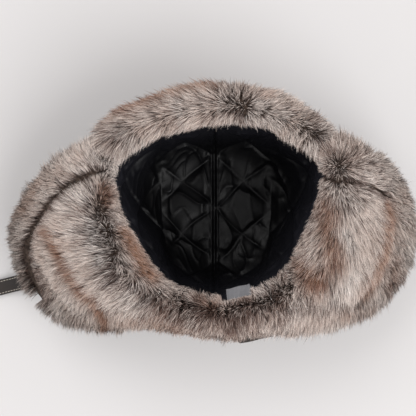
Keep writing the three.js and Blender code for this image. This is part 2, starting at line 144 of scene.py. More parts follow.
# Outline of the rim, seen from above: radius as a share of RIM_RADIUS
RIM_ROWS = table_rows(("turn", "radius"), [
    (0, 1.0), (15, 1.11), (28, 1.145), (45, 1.05), (60, 1.02), (75, 0.96), (105, 0.94), (120, 0.99),
    (135, 1.07), (150, 1.15), (162, 1.14), (180, 1.03), (195, 0.945), (210, 0.92), (240, 0.96),
    (285, 0.97), (315, 0.965), (340, 0.94),
])

# Ear and neck flaps: leather reach as a share of EAR_FLAP_REACH, and how much of the groove shows
EAR_ROWS = table_rows(("turn", "reach", "groove"), [
    (151.5, 0.03, 0), (157, 0.14, 0), (163, 0.29, 0.3), (170, 0.5, 0.9), (178, 0.73, 1), (186, 0.92, 1),
    (194, 1.0, 1), (204, 0.97, 0.9), (212, 0.89, 0.6), (220, 0.675, 0.2), (228, 0.48, 0), (237, 0.25, 0),
    (248, 0.14, 0), (264, 0.105, 0), (280, 0.13, 0), (292, 0.15, 0), (302, 0.26, 0), (312, 0.44, 0.2),
    (322, 0.61, 0.5), (330, 0.765, 0.7), (340, 0.875, 0.8), (352, 0.85, 0.8), (362, 0.74, 0.9),
    (370, 0.57, 1), (376, 0.42, 0.8), (381, 0.26, 0.3), (385, 0.12, 0), (387, 0.06, 0),
])

# Front flap: fur length and depth as shares of the named sizes
FRONT_ROWS = table_rows(("turn", "fur", "depth"), [
    (30, 0.72, 0.8), (38, 0.98, 0.95), (52, 1.02, 1), (68, 1.06, 1), (90, 1.16, 1), (108, 1.18, 1),
    (122, 1.12, 1), (136, 1.24, 0.95), (144, 1.14, 0.88), (150, 0.8, 0.76),
])

# Fur from a flap's inner to its outer edge: length as a share, and lean from upright in degrees,
# inwards above 0 and outwards below
FUR_ROWS = table_rows(("along", "length", "lean"), [
    (0, 0.58, 52), (0.12, 0.86, 24), (0.3, 0.97, 0), (0.6, 1, -22), (0.85, 0.93, -46), (1, 0.74, -72),
])

# Free stretch of the chin strap: share of its reach, and share of the flap edge's height it has fallen
STRAP_ROWS = table_rows(("out", "down"), [
    (0.15, 0.42), (0.33, 0.75), (0.54, 0.93), (0.76, 0.99), (1, 1),
])

# Lie of the fur: at a pixel of the photograph, the way the tips point, east and north
FUR_LIE = table_rows(("at", "lie"), [
    ((95, 155), (-0.5, 0.85)), ((60, 170), (-0.8, 0.6)), ((30, 200), (-1, 0.15)), ((15, 240), (-1, -0.1)),
    ((25, 285), (-0.85, -0.5)), ((60, 312), (-0.5, -0.85)), ((100, 326), (-0.3, -1)),
    ((90, 185), (-0.35, 0.95)), ((70, 215), (-0.9, 0.45)), ((60, 250), (-1, 0.1)),
    ((75, 285), (-0.9, -0.4)), ((95, 240), (-0.95, 0.2)), ((120, 298), (-0.9, -0.4)),
    ((155, 305), (-0.9, -0.4)), ((122, 215), (0.75, -0.5)), ((142, 255), (0.7, -0.6)),
    ((168, 284), (0.3, -0.2)), ((150, 325), (-0.5, -0.85)), ((190, 325), (-0.4, -0.9)),
    ((195, 303), (-0.6, 0.1)), ((220, 304), (0, 0.8)), ((232, 330), (0.1, -1)),
    ((215, 320), (-0.3, -0.9)), ((250, 318), (0.4, -0.9)), ((265, 292), (-0.8, 0.5)),
    ((285, 288), (0.6, 0.6)), ((278, 310), (-0.1, -1)), ((335, 165), (-0.6, -0.3)),
    ((352, 145), (0.1, 1)), ((377, 158), (0.6, 0.7)), ((335, 148), (-0.6, 0.7)),
    ((350, 169), (0.6, -0.5)), ((397, 178), (0.9, 0.2)), ((408, 220), (0.85, -0.5)),
    ((403, 270), (0.7, -0.7)), ((366, 172), (0.9, -0.25)), ((388, 192), (0.8, -0.55)),
    ((378, 303), (0.5, -0.9)), ((340, 324), (0.1, -1)), ((300, 328), (0, -1)), ((338, 197), (-0.1, -1)),
    ((362, 212), (0.15, -1)), ((383, 232), (0.3, -0.95)), ((347, 250), (-0.05, -1)),
    ((322, 230), (-0.5, -0.8)), ((307, 258), (-0.7, -0.6)), ((310, 290), (-0.3, -0.9)),
    ((350, 290), (0, -1)), ((225, 100), (-1, 0.1)), ((190, 106), (-1, 0)), ((155, 114), (-0.95, -0.25)),
    ((125, 128), (-0.7, -0.6)), ((105, 135), (-0.4, -0.6)), ((200, 84), (-0.7, 0.7)),
    ((150, 98), (-0.7, 0.7)), ((108, 112), (-0.8, 0.6)), ((252, 100), (0.95, 0.1)),
    ((276, 112), (0.9, -0.35)), ((302, 130), (-0.2, -1)), ((313, 145), (-0.5, -0.8)),
    ((226, 88), (-0.9, 0.3)), ((247, 88), (0.9, 0.3)), ((230, 108), (-0.9, -0.3)),
    ((252, 110), (0.9, -0.3)), ((265, 87), (0.6, 0.8)), ((302, 103), (0.7, 0.7)),
    ((331, 125), (0.9, 0.3)), ((200, 122), (-0.5, -0.8)), ((240, 119), (0, -1)), ((288, 140), (0, -1)),
    ((150, 136), (-0.3, -0.9)), ((115, 150), (0.3, -0.8)),
])
LIE_REACH_PX = 17.0

# Markings of the pelt: lines at pixels of the photograph, with their half width,
# how much lighter (above 0) or darker they are, and how much warmer brown
# Most marks are the pelt's own bands and tones; the two narrow dark lines along the ear flaps' grooves are
# painted shadow.
PELT_MARKS_AND_SHADOWS = table_rows(("line", "width", "light", "warm"), [
    ([(108, 112), (128, 102), (150, 92)], 7, -0.2, 0.6), ([(150, 92), (215, 79)], 5, -0.12, 0.55),
    ([(232, 92), (243, 116)], 6, -0.5, -0.1), ([(100, 128), (124, 140)], 8, -0.42, 0),
    ([(317, 118), (320, 135), (324, 150)], 6, -0.45, 0), ([(160, 104), (200, 108)], 6, -0.14, 0),
    ([(165, 93), (225, 92)], 5, 0.16, 0), ([(255, 88), (302, 108)], 6, 0.2, 0.15),
    ([(270, 106), (300, 132)], 7, -0.14, 0), ([(140, 130), (225, 118)], 6, 0.06, 0.1),
    ([(270, 122), (300, 148)], 5, 0.1, 0),
    # Painted shadow: a narrow dark line along the left ear flap's groove, where the inner panel's hair tips
    # shade the outer roll.
    ([(100, 170), (75, 185), (50, 208), (33, 238), (30, 255), (34, 270), (47, 305)], 2.6, -0.7, 0),
    ([(85, 151), (50, 175), (28, 205), (16, 240)], 6, 0.22, 0.05), ([(38, 182), (18, 215)], 4, 0, 0.35),
    ([(97, 165), (60, 187)], 5, -0.28, 0),
    ([(45, 232), (62, 265), (80, 293), (92, 300), (103, 320), (105, 332)], 4, -0.16, 0.6),
    ([(58, 230), (88, 285)], 6, 0.24, 0.05), ([(38, 250), (52, 288)], 5, 0.2, 0.05),
    ([(60, 300), (90, 312)], 6, 0.16, 0.05), ([(100, 208), (108, 240), (112, 275)], 10, -0.46, -0.15),
    ([(108, 272), (150, 298)], 9, -0.36, -0.05), ([(150, 298), (200, 312)], 9, -0.38, 0),
    ([(90, 222), (98, 262)], 5, -0.18, -0.25), ([(105, 190), (105, 200)], 7, -0.05, 0.65),
    ([(124, 232), (150, 276)], 6, -0.04, 0.7), ([(80, 192), (120, 176)], 10, -0.04, -0.15),
    ([(120, 322), (180, 330)], 5, 0.06, 0.25), ([(195, 305), (215, 315)], 7, -0.38, 0),
    ([(232, 322), (232, 328)], 7, -0.38, 0), ([(246, 306), (244, 314)], 6, -0.36, 0),
    ([(165, 318), (235, 328), (270, 314)], 12, -0.38, 0.15), ([(277, 291), (279, 299)], 9, -0.5, 0),
    ([(219, 301), (226, 309)], 4, 0.25, 0.1), ([(232, 304), (248, 301)], 4, -0.2, 0.15),
    ([(266, 296), (262, 306)], 6, -0.2, -0.1), ([(258, 292), (268, 285)], 4, 0.14, 0),
    ([(200, 298), (212, 306)], 5, -0.05, 0.4),
    # Painted shadow: a narrow dark line along the right ear flap's groove, where the inner panel's hair
    # tips shade the outer roll.
    ([(325, 175), (340, 178), (360, 183), (375, 190), (385, 198)], 2.8, -0.7, 0),
    ([(336, 156), (352, 158), (374, 166)], 6, -0.42, 0),
    ([(388, 205), (392, 220), (388, 240), (383, 260), (375, 280), (365, 298)], 4, -0.14, 0.55),
    ([(362, 220), (356, 292)], 9, 0.2, 0), ([(402, 200), (409, 245)], 5, 0.18, 0),
    ([(328, 210), (326, 232), (336, 262), (322, 280)], 9, -0.3, 0.5),
    ([(298, 266), (308, 282)], 8, -0.3, 0.4), ([(318, 213), (316, 218)], 4, -0.3, -0.1),
    ([(345, 232), (352, 246)], 4, -0.2, -0.2), ([(352, 262), (348, 288)], 4, -0.14, -0.2),
    ([(330, 275), (334, 300)], 4, -0.16, -0.1), ([(336, 190), (352, 205)], 7, -0.2, -0.1),
    ([(400, 262), (388, 292)], 4, -0.18, 0.2), ([(290, 311), (330, 308), (362, 304)], 4.5, -0.4, 0),
    ([(388, 276), (398, 288)], 7, -0.28, 0.1), ([(300, 323), (370, 315)], 5, 0.2, 0.15),
    ([(318, 190), (302, 238)], 4, -0.12, 0),
])

# Hairs: places of their four points, taper of their ribbons, and how they stand
SEGMENT_PLACES = np.array([0.0, 0.4, 0.75, 1.0])
RIBBON_TAPER = np.array([0.8, 1.0, 0.72])
ROOT_RISE = 1.0
LOWEST_HAIR = 1.5
FULL_GROWTH = 1.15
LONG_HAIRS, LONG_HAIR_GROWTH = 0.07, 1.16
INNER_TRIM, INNER_TRIM_REACH = 0.32, 11.0
LIE_SPREAD = 0.13
END_SPLAY, END_SPLAY_REACH = 1.3, 9.0
TUFT_PULL = 0.28
LOCK_SIZE, WISP_SIZE = 2.6, 0.42
TUFT_TABLE = 509
MEAN_TUFT_RADIUS, MEAN_TUFT_RUN = 130.0, 30.0
DARK_HAIRS, PALE_HAIRS = 0.27, 0.22
MEAN_WARMTH = 0.34

# Partings of the fur: lines at pixels of the photograph that no hair crosses
PARTINGS = [
    [(104, 172), (92, 176), (75, 185), (60, 196), (50, 208), (40, 224), (32, 240), (30, 255), (34, 270),
     (40, 287), (45, 299)],
    [(322, 172), (330, 178), (345, 182), (360, 184), (372, 189), (384, 198)],
    [(222, 302), (237, 299), (253, 295)],
]

# Colour map of the fur: warm steps side by side, each from dark to light, and the hairs' places on it
FUR_MAP = "OFBake"
WARM_STEPS = 8
MAP_PLACES = (0.02, 0.4, 0.75, 0.98)
MAP_HALF_WIDTH = 0.012 / WARM_STEPS


def smooth_column(rows, key, column, place, period=0.0):
    """Smooth value of a table's column at a place on its key: a cubic between rows whose slopes are
    those between each row's neighbours. A period makes the table go round and meet itself."""
    keys = np.array([row[key] for row in rows], float)
    values = np.array([row[column] for row in rows], float)
    place = np.asarray(place, float)
    if period:
        place = keys[0] + np.mod(place - keys[0], period)
        keys = np.concatenate([keys[-1:] - period, keys, keys[:2] + period])
        values = np.concatenate([values[-1:], values, values[:2]])
    else:
        keys = np.concatenate([keys[:1], keys, keys[-1:]])
        values = np.concatenate([values[:1], values, values[-1:]])
    index = np.clip(np.searchsorted(keys, place, side="left") - 1, 1, len(keys) - 3)
    x0, x1, x2, x3 = (keys[index + shift] for shift in (-1, 0, 1, 2))
    y0, y1, y2, y3 = (values[index + shift] for shift in (-1, 0, 1, 2))
    span = x2 - x1
    share = np.clip((place - x1) / span, 0, 1)
    slope1 = (y2 - y0) / np.maximum(x2 - x0, span) * span
    slope2 = (y3 - y1) / np.maximum(x3 - x1, span) * span
    s2 = share ** 2
    s3 = share ** 3
    start = (2 * s3 - 3 * s2 + 1) * y1 + (s3 - 2 * s2 + share) * slope1
    return start + (3 * s2 - 2 * s3) * y2 + (s3 - s2) * slope2


def rim_radius(turn):
    """Outer radius of the crown at its rim."""
    return RIM_RADIUS * smooth_column(RIM_ROWS, "turn", "radius", turn, 360.0)


def polar_point(radius, height, turn):
    """Point from a radius, a height and a turn."""
    angle = np.radians(turn)
    parts = np.broadcast_arrays(radius * np.cos(angle), radius * np.sin(angle), height)
    return np.stack(parts, axis=-1)


def crown_outer(turn, along):
    """Crown's outside as radius and height: flat to the rest radius, then a superellipse to the rim."""
    angle = np.clip((along - FLAT_SHARE) / (1 - FLAT_SHARE), 0, 1) * np.pi / 2
    out = np.sin(angle) ** (2 / SHOULDER_POWER)
    up = 1 - np.maximum(np.cos(angle), 0) ** (2 / SHOULDER_POWER)
    radius = np.where(along <= FLAT_SHARE, REST_RADIUS * along / FLAT_SHARE,
                      REST_RADIUS + (rim_radius(turn) - REST_RADIUS) * out)
    return radius, RIM_HEIGHT * np.where(along <= FLAT_SHARE, 0, up)


def crown_point(turn, along, inset):
    """Point of the crown moved inwards by an inset, square to its half section."""
    step = 0.004
    radius, height = crown_outer(turn, along)
    r0, z0 = crown_outer(turn, np.maximum(along - step, FLAT_SHARE))
    r1, z1 = crown_outer(turn, np.minimum(np.maximum(along, FLAT_SHARE) + step, 1))
    length = np.hypot(r1 - r0, z1 - z0)
    flat = along <= FLAT_SHARE
    in_r = np.where(flat, 0, (z1 - z0) / length)
    in_z = np.where(flat, 1, (r1 - r0) / length)
    return polar_point(radius - inset * in_r, height + inset * in_z, turn)


def ear_flap_line(turn, along):
    """Middle line of an ear or neck flap's leather: it laps the rim, rolls over it and droops."""
    share = smooth_column(EAR_ROWS, "turn", "reach", turn)
    drop = EAR_FLAP_DROP * np.maximum(share, 0) ** DROP_GROWTH
    seat = RIM_HEIGHT + CLEARANCE + FLAP_WALL / 2
    radius = rim_radius(turn) - RIM_LAP + (RIM_LAP + EAR_FLAP_REACH * share) * along
    roll = FLAP_ROLL * np.sin(np.pi * np.minimum(along / ROLL_SHARE, 1))
    return radius, seat + roll - drop * np.maximum(along, 0) ** DROOP_POWER


def front_flap_line(turn, along):
    """Middle line of the front flap's leather: over the rim, then down the outside of the crown."""
    depth = FRONT_FLAP_DEPTH * smooth_column(FRONT_ROWS, "turn", "depth", turn)
    stand = CURVE_CLEARANCE + FLAP_WALL / 2
    inner, outer = rim_radius(turn) - RIM_LAP, rim_radius(turn) + stand
    seat = RIM_HEIGHT + CLEARANCE + FLAP_WALL / 2
    angle = np.clip(along / FOLD_SHARE, 0, 1) * np.pi / 2
    fold_radius = inner + (outer - inner) * np.sin(angle)
    fold_height = seat + FOLD_RISE * np.sin(2 * angle)
    fall = np.maximum(along - FOLD_SHARE, 0) / (1 - FOLD_SHARE) * depth
    up = np.maximum(1 - (seat - fall) / RIM_HEIGHT, 0)
    across = np.maximum(1 - up ** SHOULDER_POWER, 0) ** (1 / SHOULDER_POWER)
    wall_radius = REST_RADIUS + (rim_radius(turn) - REST_RADIUS) * across + stand
    folded = along < FOLD_SHARE
    return np.where(folded, fold_radius, wall_radius), np.where(folded, fold_height, seat - fall)


def flap_upright(line, turn, along):
    """Direction square to a flap's middle line, away from the crown, as outward and upward parts."""
    step = 0.01
    r0, z0 = line(turn, np.maximum(along - step, 0))
    r1, z1 = line(turn, np.minimum(along + step, 1))
    length = np.hypot(r1 - r0, z1 - z0)
    return -(z1 - z0) / length, (r1 - r0) / length


def beside_flap(line, turn, along, rise):
    """Point beside a flap's middle line, a rise square to it."""
    radius, height = line(turn, along)
    outwards, upwards = flap_upright(line, turn, along)
    return polar_point(radius + outwards * rise, height + upwards * rise, turn)


def fur_growth(band, turn, along, fur_length):
    """Fur at a place on a flap: its radius and height, its direction and its length to the tip."""
    radius, height = band["line"](turn, along)
    outwards, upwards = flap_upright(band["line"], turn, along)
    lean = np.radians(smooth_column(FUR_ROWS, "along", "lean", along))
    from_edge = (1 - along) * band["reach"](turn)
    groove = np.exp(-((from_edge - ROLL_WIDTH) / GROOVE_WIDTH) ** 2) * band["groove"](turn) * GROOVE_DEPTH
    length = fur_length * band["share"](turn) * smooth_column(FUR_ROWS, "along", "length", along) - groove
    out = outwards * np.cos(lean) - upwards * np.sin(lean)
    up = upwards * np.cos(lean) + outwards * np.sin(lean)
    return radius, height, out, up, length


def end_fullness(turn):
    """Share of the fur's length near the front ends of the ear flaps."""
    from_end = np.minimum(turn - EAR_FLAPS_FROM, EAR_FLAPS_TO - turn)
    return END_FUR + (1 - END_FUR) * np.clip(from_end / END_TURN, 0, 1)


def ear_reach(turn):
    """Length of an ear or neck flap from its inner edge."""
    return RIM_LAP + EAR_FLAP_REACH * smooth_column(EAR_ROWS, "turn", "reach", turn)


def ear_groove(turn):
    """Share of the groove on an ear flap."""
    return smooth_column(EAR_ROWS, "turn", "groove", turn)


def no_groove(turn):
    """Share of the groove on the front flap, which has none."""
    return 0 * turn


def front_reach(turn):
    """Length of the front flap from its inner edge, with the fold over the rim."""
    return FRONT_FOLD_LENGTH + FRONT_FLAP_DEPTH * smooth_column(FRONT_ROWS, "turn", "depth", turn)


def front_share(turn):
    """Share of the fur's length on the front flap."""
    return smooth_column(FRONT_ROWS, "turn", "fur", turn)


FRONT_BAND = {
    "line": front_flap_line, "share": front_share, "groove": no_groove, "reach": front_reach,
    "ends": (FRONT_FLAP_FROM, FRONT_FLAP_TO),
}
EAR_BAND = {
    "line": ear_flap_line, "share": end_fullness, "groove": ear_groove, "reach": ear_reach,
    "ends": (EAR_FLAPS_FROM, EAR_FLAPS_TO),
}


def round_grid(columns, places):
    """Turns all round the crown and places along it, as two grids with a row for each place."""
    turns = np.arange(columns)[None, :] * 360.0 / columns
    return np.broadcast_arrays(turns, places[:, None])


def flap_grid(turn_from, turn_to, columns, count):
    """Turns across a flap and places along it, as two grids with a row for each turn."""
    turns = np.linspace(turn_from, turn_to, columns)[:, None]
    return np.broadcast_arrays(turns, np.linspace(0, 1, count)[None, :])


def reach_along(line):
    """Length of a line of points up to each point."""
    return np.concatenate([[0], np.cumsum(np.linalg.norm(np.diff(line, axis=0), axis=1))])


def read_line(values, reach, run):
    """Points or directions of a line at lengths along it."""
    return np.stack([np.interp(run, reach, values[:, axis]) for axis in range(3)], axis=-1)


def add_object(name, vertices, faces, uv=None):
    """Makes a smooth mesh object from vertices in millimetres and arrays of faces. uv is one pair for
    each corner of each face, in order, and fills the map that the fur's colours are read from."""
    mesh = bpy.data.meshes.new(name)
    corners = np.concatenate([part.ravel() for part in faces]).astype(np.int32)
    totals = np.concatenate([np.full(len(part), part.shape[1]) for part in faces])
    starts = np.concatenate([[0], np.cumsum(totals)[:-1]]).astype(np.int32)
    mesh.vertices.add(len(vertices))
    mesh.vertices.foreach_set("co", (vertices * MM).astype(np.float32).ravel())
    mesh.loops.add(len(corners))
    mesh.loops.foreach_set("vertex_index", corners)
    mesh.polygons.add(len(totals))
    mesh.polygons.foreach_set("loop_start", starts)
    mesh.polygons.foreach_set("use_smooth", np.ones(len(totals), bool))
    mesh.update(calc_edges=True)
    if uv is not None:
        layer = mesh.uv_layers.new(name=FUR_MAP)
        layer.data.foreach_set("uv", uv.astype(np.float32).ravel())
    piece = bpy.data.objects.new(name, mesh)
    bpy.context.scene.collection.objects.link(piece)
    return piece


def grid_faces(rows, columns):
    """Quads between rings of vertices that are numbered ring by ring, each closed round its columns."""
    row = np.arange(rows - 1)[:, None]
    column = np.arange(columns)[None, :]
    next_row = row + 1
    next_column = (column + 1) % columns
    corners = [row * columns + column, row * columns + next_column,
               next_row * columns + next_column, next_row * columns + column]
    return np.stack([np.broadcast_to(c, (len(row), columns)).ravel() for c in corners], axis=1)


def ringed_body(name, rings):
    """Closed body from rings of the same number of points, with a fan from a middle point on its first
    and its last ring."""
    count, around = rings.shape[:2]
    middles = np.stack([rings[0].mean(axis=0), rings[-1].mean(axis=0)])
    vertices = np.concatenate([rings.reshape(-1, 3), middles])
    quads = grid_faces(count, around)
    here = np.arange(around)
    there = (here + 1) % around
    first_middle, last_middle = count * around, count * around + 1
    start = np.stack([np.full(around, first_middle), there, here], axis=1)
    last_ring = (count - 1) * around
    end = np.stack([last_ring + here, last_ring + there, np.full(around, last_middle)], axis=1)
    return add_object(name, vertices, [quads, start, end])


def loft(name, sections):
    """Closed body from sections, each a loop of points, with its faces turned outwards."""
    piece = ringed_body(name, sections)
    face_out(piece)
    return piece


def face_out(piece):
    """Turns a closed mesh's faces round where its volume comes out negative."""
    mesh = piece.data
    mesh.calc_loop_triangles()
    corners = np.zeros(len(mesh.loop_triangles) * 3, np.int32)
    mesh.loop_triangles.foreach_get("vertices", corners)
    places = np.zeros(len(mesh.vertices) * 3)
    mesh.vertices.foreach_get("co", places)
    a, b, c = places.reshape(-1, 3)[corners.reshape(-1, 3)].transpose(1, 0, 2)
    if np.einsum("ij,ij->i", a, np.cross(b, c)).sum() < 0:
        mesh.flip_normals()


def noise_waves(points, size, seed, count=14):
    """Smooth seeded noise from -1 to 1: a mean of sine waves in random directions about one size long."""
    rng = np.random.default_rng(seed)
    total = np.zeros(points.shape[:-1])
    for _ in range(count):
        direction = rng.normal(size=3)
        direction /= np.linalg.norm(direction)
        wave = 2 * np.pi / (size * rng.uniform(0.7, 1.5))
        total += np.sin((points @ direction) * wave + rng.uniform(0, 2 * np.pi))
    return total / np.sqrt(count) * 0.8


def finish_piece(piece, slot, material, *nodes):
    """Gives a piece its material and body, and hides the solids it stands for."""
    piece.data.materials.clear()
    piece.data.materials.append(material)
    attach(piece, "root")
    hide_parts(*nodes)


def linear(hex_colour):
    """Linear RGBA from an sRGB hex colour."""
    parts = [int(hex_colour[i:i + 2], 16) / 255 for i in (1, 3, 5)]
    return [p / 12.92 if p <= 0.04045 else ((p + 0.055) / 1.055) ** 2.4 for p in parts] + [1.0]


def add_node(tree, kind, settings=None, values=None, links=None):
    """Adds a node, sets its settings and socket values, and links its inputs to other nodes' outputs."""
    node = tree.nodes.new(kind)
    for name, value in (settings or {}).items():
        setattr(node, name, value)
    for name, value in (values or {}).items():
        node.inputs[name].default_value = value
    for name, socket in (links or {}).items():
        tree.links.new(socket, node.inputs[name])
    return node


def new_material(name, shader_values):
    """Material with a Principled shader whose own sockets hold its constant numbers."""
    material = bpy.data.materials.new(name)
    material.use_nodes = True
    tree = material.node_tree
    shader = tree.nodes["Principled BSDF"]
    for socket, value in shader_values.items():
        shader.inputs[socket].default_value = value
    return material, tree, shader


def ramp(tree, factor, stops):
    """Colour ramp with stops of place and hex colour."""
    node = add_node(tree, "ShaderNodeValToRGB", links={"Fac": factor})
    elements = node.color_ramp.elements
    while len(elements) < len(stops):
        elements.new(0.5)
    for element, (place, colour) in zip(elements, stops):
        element.position = place
        element.color = linear(colour)
    return node.outputs["Color"]


def own_place(tree):
    """The object's own coordinates, in metres."""
    return add_node(tree, "ShaderNodeTexCoord").outputs["Object"]


def own_noise(tree, place, scale, detail):
    """Noise over a place, of so many waves to the metre."""
    noise = add_node(tree, "ShaderNodeTexNoise", values={"Scale": scale, "Detail": detail},
                     links={"Vector": place})
    return noise.outputs["Fac"]


def add_gloss(tree, shader, factor, smooth, rough):
    """Roughness between two values by a factor."""
    gloss = add_node(tree, "ShaderNodeMapRange", values={"To Min": smooth, "To Max": rough},
                     links={"Value": factor})
    tree.links.new(gloss.outputs["Result"], shader.inputs["Roughness"])


def add_bump(tree, shader, height, strength, distance):
    """Raises the surface by a height, over a distance in metres."""
    bump = add_node(tree, "ShaderNodeBump", values={"Strength": strength, "Distance": distance},
                    links={"Height": height})
    tree.links.new(bump.outputs["Normal"], shader.inputs["Normal"])


def add_math(tree, operation, value, other=None):
    """A sum of one value, or of a value and a fixed number."""
    fixed = {} if other is None else {1: other}
    return add_node(tree, "ShaderNodeMath", {"operation": operation}, fixed, {0: value}).outputs[0]


def add_mix(tree, factor, low, high):
    """Colour between two colours by a factor."""
    mix = add_node(tree, "ShaderNodeMixRGB", links={"Fac": factor, "Color1": low, "Color2": high})
    return mix.outputs[0]


def fur_material(colours):
    """Acrylic pile fur, knitted and brushed: matt hairs with dark roots, brown-grey middles and pale tips.
    The darkening towards the roots is partly the pile's own tipped colour and partly painted shade deep
    between the hairs.
    The map's u holds the pelt's warmth in steps with lightness inside each, and v runs root to tip."""
    material, tree, shader = new_material("acrylic_pile_fur", {
        "Roughness": 0.62, "Specular IOR Level": 0.22, "Sheen Weight": 0.0,
    })
    uv = add_node(tree, "ShaderNodeUVMap", {"uv_map": FUR_MAP})
    parts = add_node(tree, "ShaderNodeSeparateXYZ", links={"Vector": uv.outputs["UV"]})
    along = parts.outputs["Y"]
    steps = add_math(tree, "MULTIPLY", parts.outputs["X"], float(WARM_STEPS))
    light = add_math(tree, "FRACT", steps)
    warm = add_math(tree, "DIVIDE", add_math(tree, "FLOOR", steps), WARM_STEPS - 1.0)
    # Partly painted shade: every ramp runs dark towards the root, for the pile's own dark base and for the
    # shade deep between the hairs.
    cool_dark = ramp(tree, along, [(0.0, colours.root), (0.5, "#2B2423"), (1.0, "#544844")])
    cool_light = ramp(tree, along, [
        (0.0, colours.root), (0.4, "#85766F"), (0.68, colours.tip), (1.0, "#FFF8F2")])
    warm_dark = ramp(tree, along, [(0.0, colours.root), (0.5, "#46291D"), (1.0, "#70493A")])
    warm_light = ramp(tree, along, [
        (0.0, colours.root), (0.4, "#6A4836"), (0.75, colours.brown), (1.0, "#DFC5B5")])
    cool = add_mix(tree, light, cool_dark, cool_light)
    brown = add_mix(tree, light, warm_dark, warm_light)
    tree.links.new(add_mix(tree, warm, cool, brown), shader.inputs["Base Color"])
    return material


def pelt_material(colours):
    """Short dense underfur, matt and dark, mottled a few millimetres across. Its darkness is partly the
    pile's own colour and partly painted shade deep in the fur.
    """
    material, tree, shader = new_material("underfur", {"Roughness": 0.95, "Specular IOR Level": 0.1})
    mottle = own_noise(tree, own_place(tree), scale=320.0, detail=4.0)
    colour = ramp(tree, mottle, [(0.3, colours.root), (0.7, "#54473F")])
    tree.links.new(colour, shader.inputs["Base Color"])
    add_bump(tree, shader, mottle, strength=0.8, distance=0.002)
    return material


def leather_material(colours):
    """Embossed, pigmented cowhide: a pebbled grain about 1 mm across with softly polished high spots."""
    material, tree, shader = new_material("embossed_leather", {"Specular IOR Level": 0.45})
    place = own_place(tree)
    pebble = add_node(tree, "ShaderNodeTexVoronoi", {"feature": "DISTANCE_TO_EDGE"}, {"Scale": 900.0},
                      {"Vector": place})
    wear = own_noise(tree, place, scale=28.0, detail=6.0)
    colour = ramp(tree, wear, [(0.3, colours.leather), (0.75, colours.leather_worn)])
    tree.links.new(colour, shader.inputs["Base Color"])
    add_gloss(tree, shader, wear, smooth=0.42, rough=0.62)
    pebbles = add_math(tree, "MINIMUM", pebble.outputs["Distance"], 0.12)
    add_bump(tree, shader, pebbles, strength=0.5, distance=0.0012)
    return material


def satin_material(colours):
    """Black polyester lining satin: a fine warp-faced weave with a soft broad sheen. Its colour is painted
    darker in the depth of the crown and paler up its walls: painted shade."""
    material, tree, shader = new_material("lining_satin", {
        "Specular IOR Level": 0.27, "Sheen Weight": 0.22, "Sheen Roughness": 0.4,
        "Sheen Tint": linear("#3A3A44"),
    })
    place = own_place(tree)
    cloud = own_noise(tree, place, scale=18.0, detail=3.0)
    up = add_node(tree, "ShaderNodeSeparateXYZ", links={"Vector": place}).outputs["Z"]
    height = add_node(tree, "ShaderNodeMapRange", values={"From Min": 0.01, "From Max": 0.11},
                      links={"Value": up}).outputs["Result"]
    # Painted shade: both tones of the satin run darker towards the bottom of the crown and paler up its
    # walls, by height alone.
    painted_depth_shade_dark = ramp(tree, height, [(0.1, colours.satin), (0.9, "#1F1F25")])
    painted_depth_shade_pale = ramp(tree, height, [(0.1, "#09090B"), (0.9, "#2B2B32")])
    tree.links.new(add_mix(tree, cloud, painted_depth_shade_dark, painted_depth_shade_pale), shader.inputs["Base Color"])
    add_gloss(tree, shader, cloud, smooth=0.36, rough=0.5)
    slub = add_node(tree, "ShaderNodeMapping", values={"Scale": (1400.0, 1400.0, 240.0)},
                    links={"Vector": place})
    weave = own_noise(tree, slub.outputs["Vector"], scale=1.0, detail=2.0)
    add_bump(tree, shader, weave, strength=0.15, distance=0.0004)
    return material


def label_material(colours):
    """Grey woven satin label: fine ribs, drawn a little coarse to show."""
    material, tree, shader = new_material("ribbed_label_satin", {
        "Roughness": 0.48, "Specular IOR Level": 0.4,
    })
    rib = add_node(tree, "ShaderNodeTexWave", {"bands_direction": "X"},
                   {"Scale": 260.0, "Distortion": 1.5, "Detail": 2.0}, {"Vector": own_place(tree)})
    colour = ramp(tree, rib.outputs["Fac"], [(0.0, "#7E7E82"), (1.0, colours.label)])
    tree.links.new(colour, shader.inputs["Base Color"])
    add_bump(tree, shader, rib.outputs["Fac"], strength=0.3, distance=0.0003)
    return material


def thread_material(colours):
    """Twisted, waxed polyester sewing thread, off-white with a slightly darker twist."""
    material, tree, shader = new_material("waxed_thread", {"Roughness": 0.5, "Specular IOR Level": 0.4})
    twist = own_noise(tree, own_place(tree), scale=2500.0, detail=2.0)
    colour = ramp(tree, twist, [(0.3, "#9C948A"), (0.7, colours.thread)])
    tree.links.new(colour, shader.inputs["Base Color"])
    return material


def floor_material(colours):
    """Matt white paper sweep with a faint unevenness."""
    material, tree, shader = new_material("paper_floor", {"Roughness": 0.9, "Specular IOR Level": 0.15})
    cloud = own_noise(tree, own_place(tree), scale=3.0, detail=3.0)
    colour = ramp(tree, cloud, [(0.2, "#D3D1D1"), (0.8, colours.floor)])
    tree.links.new(colour, shader.inputs["Base Color"])
    return material


def photo_pixel(points):
    """Pixel of the photograph at which a point shows, from its height and the camera's distance."""
    scale = PIXEL * (CAMERA_ABOVE_RIM + RIM_HEIGHT - points[..., 2]) / CAMERA_ABOVE_RIM
    right = CENTRE_PX + (points[..., 0] + VIEW_SHIFT) / scale
    down = CENTRE_PX - points[..., 1] / scale
    return np.stack([right, down], axis=-1)


def fur_lie(pixels):
    """Direction of the tips in plan: the rows of the table, weighted by how near they are."""
    at = np.array([row["at"] for row in FUR_LIE], float)
    lie = np.array([row["lie"] for row in FUR_LIE], float)
    lie /= np.linalg.norm(lie, axis=1, keepdims=True)
    gap = ((pixels[:, None, :] - at[None]) ** 2).sum(axis=-1)
    weight = np.exp(-gap / (2 * LIE_REACH_PX ** 2)) + 1e-9
    return (weight @ lie) / weight.sum(axis=1, keepdims=True)


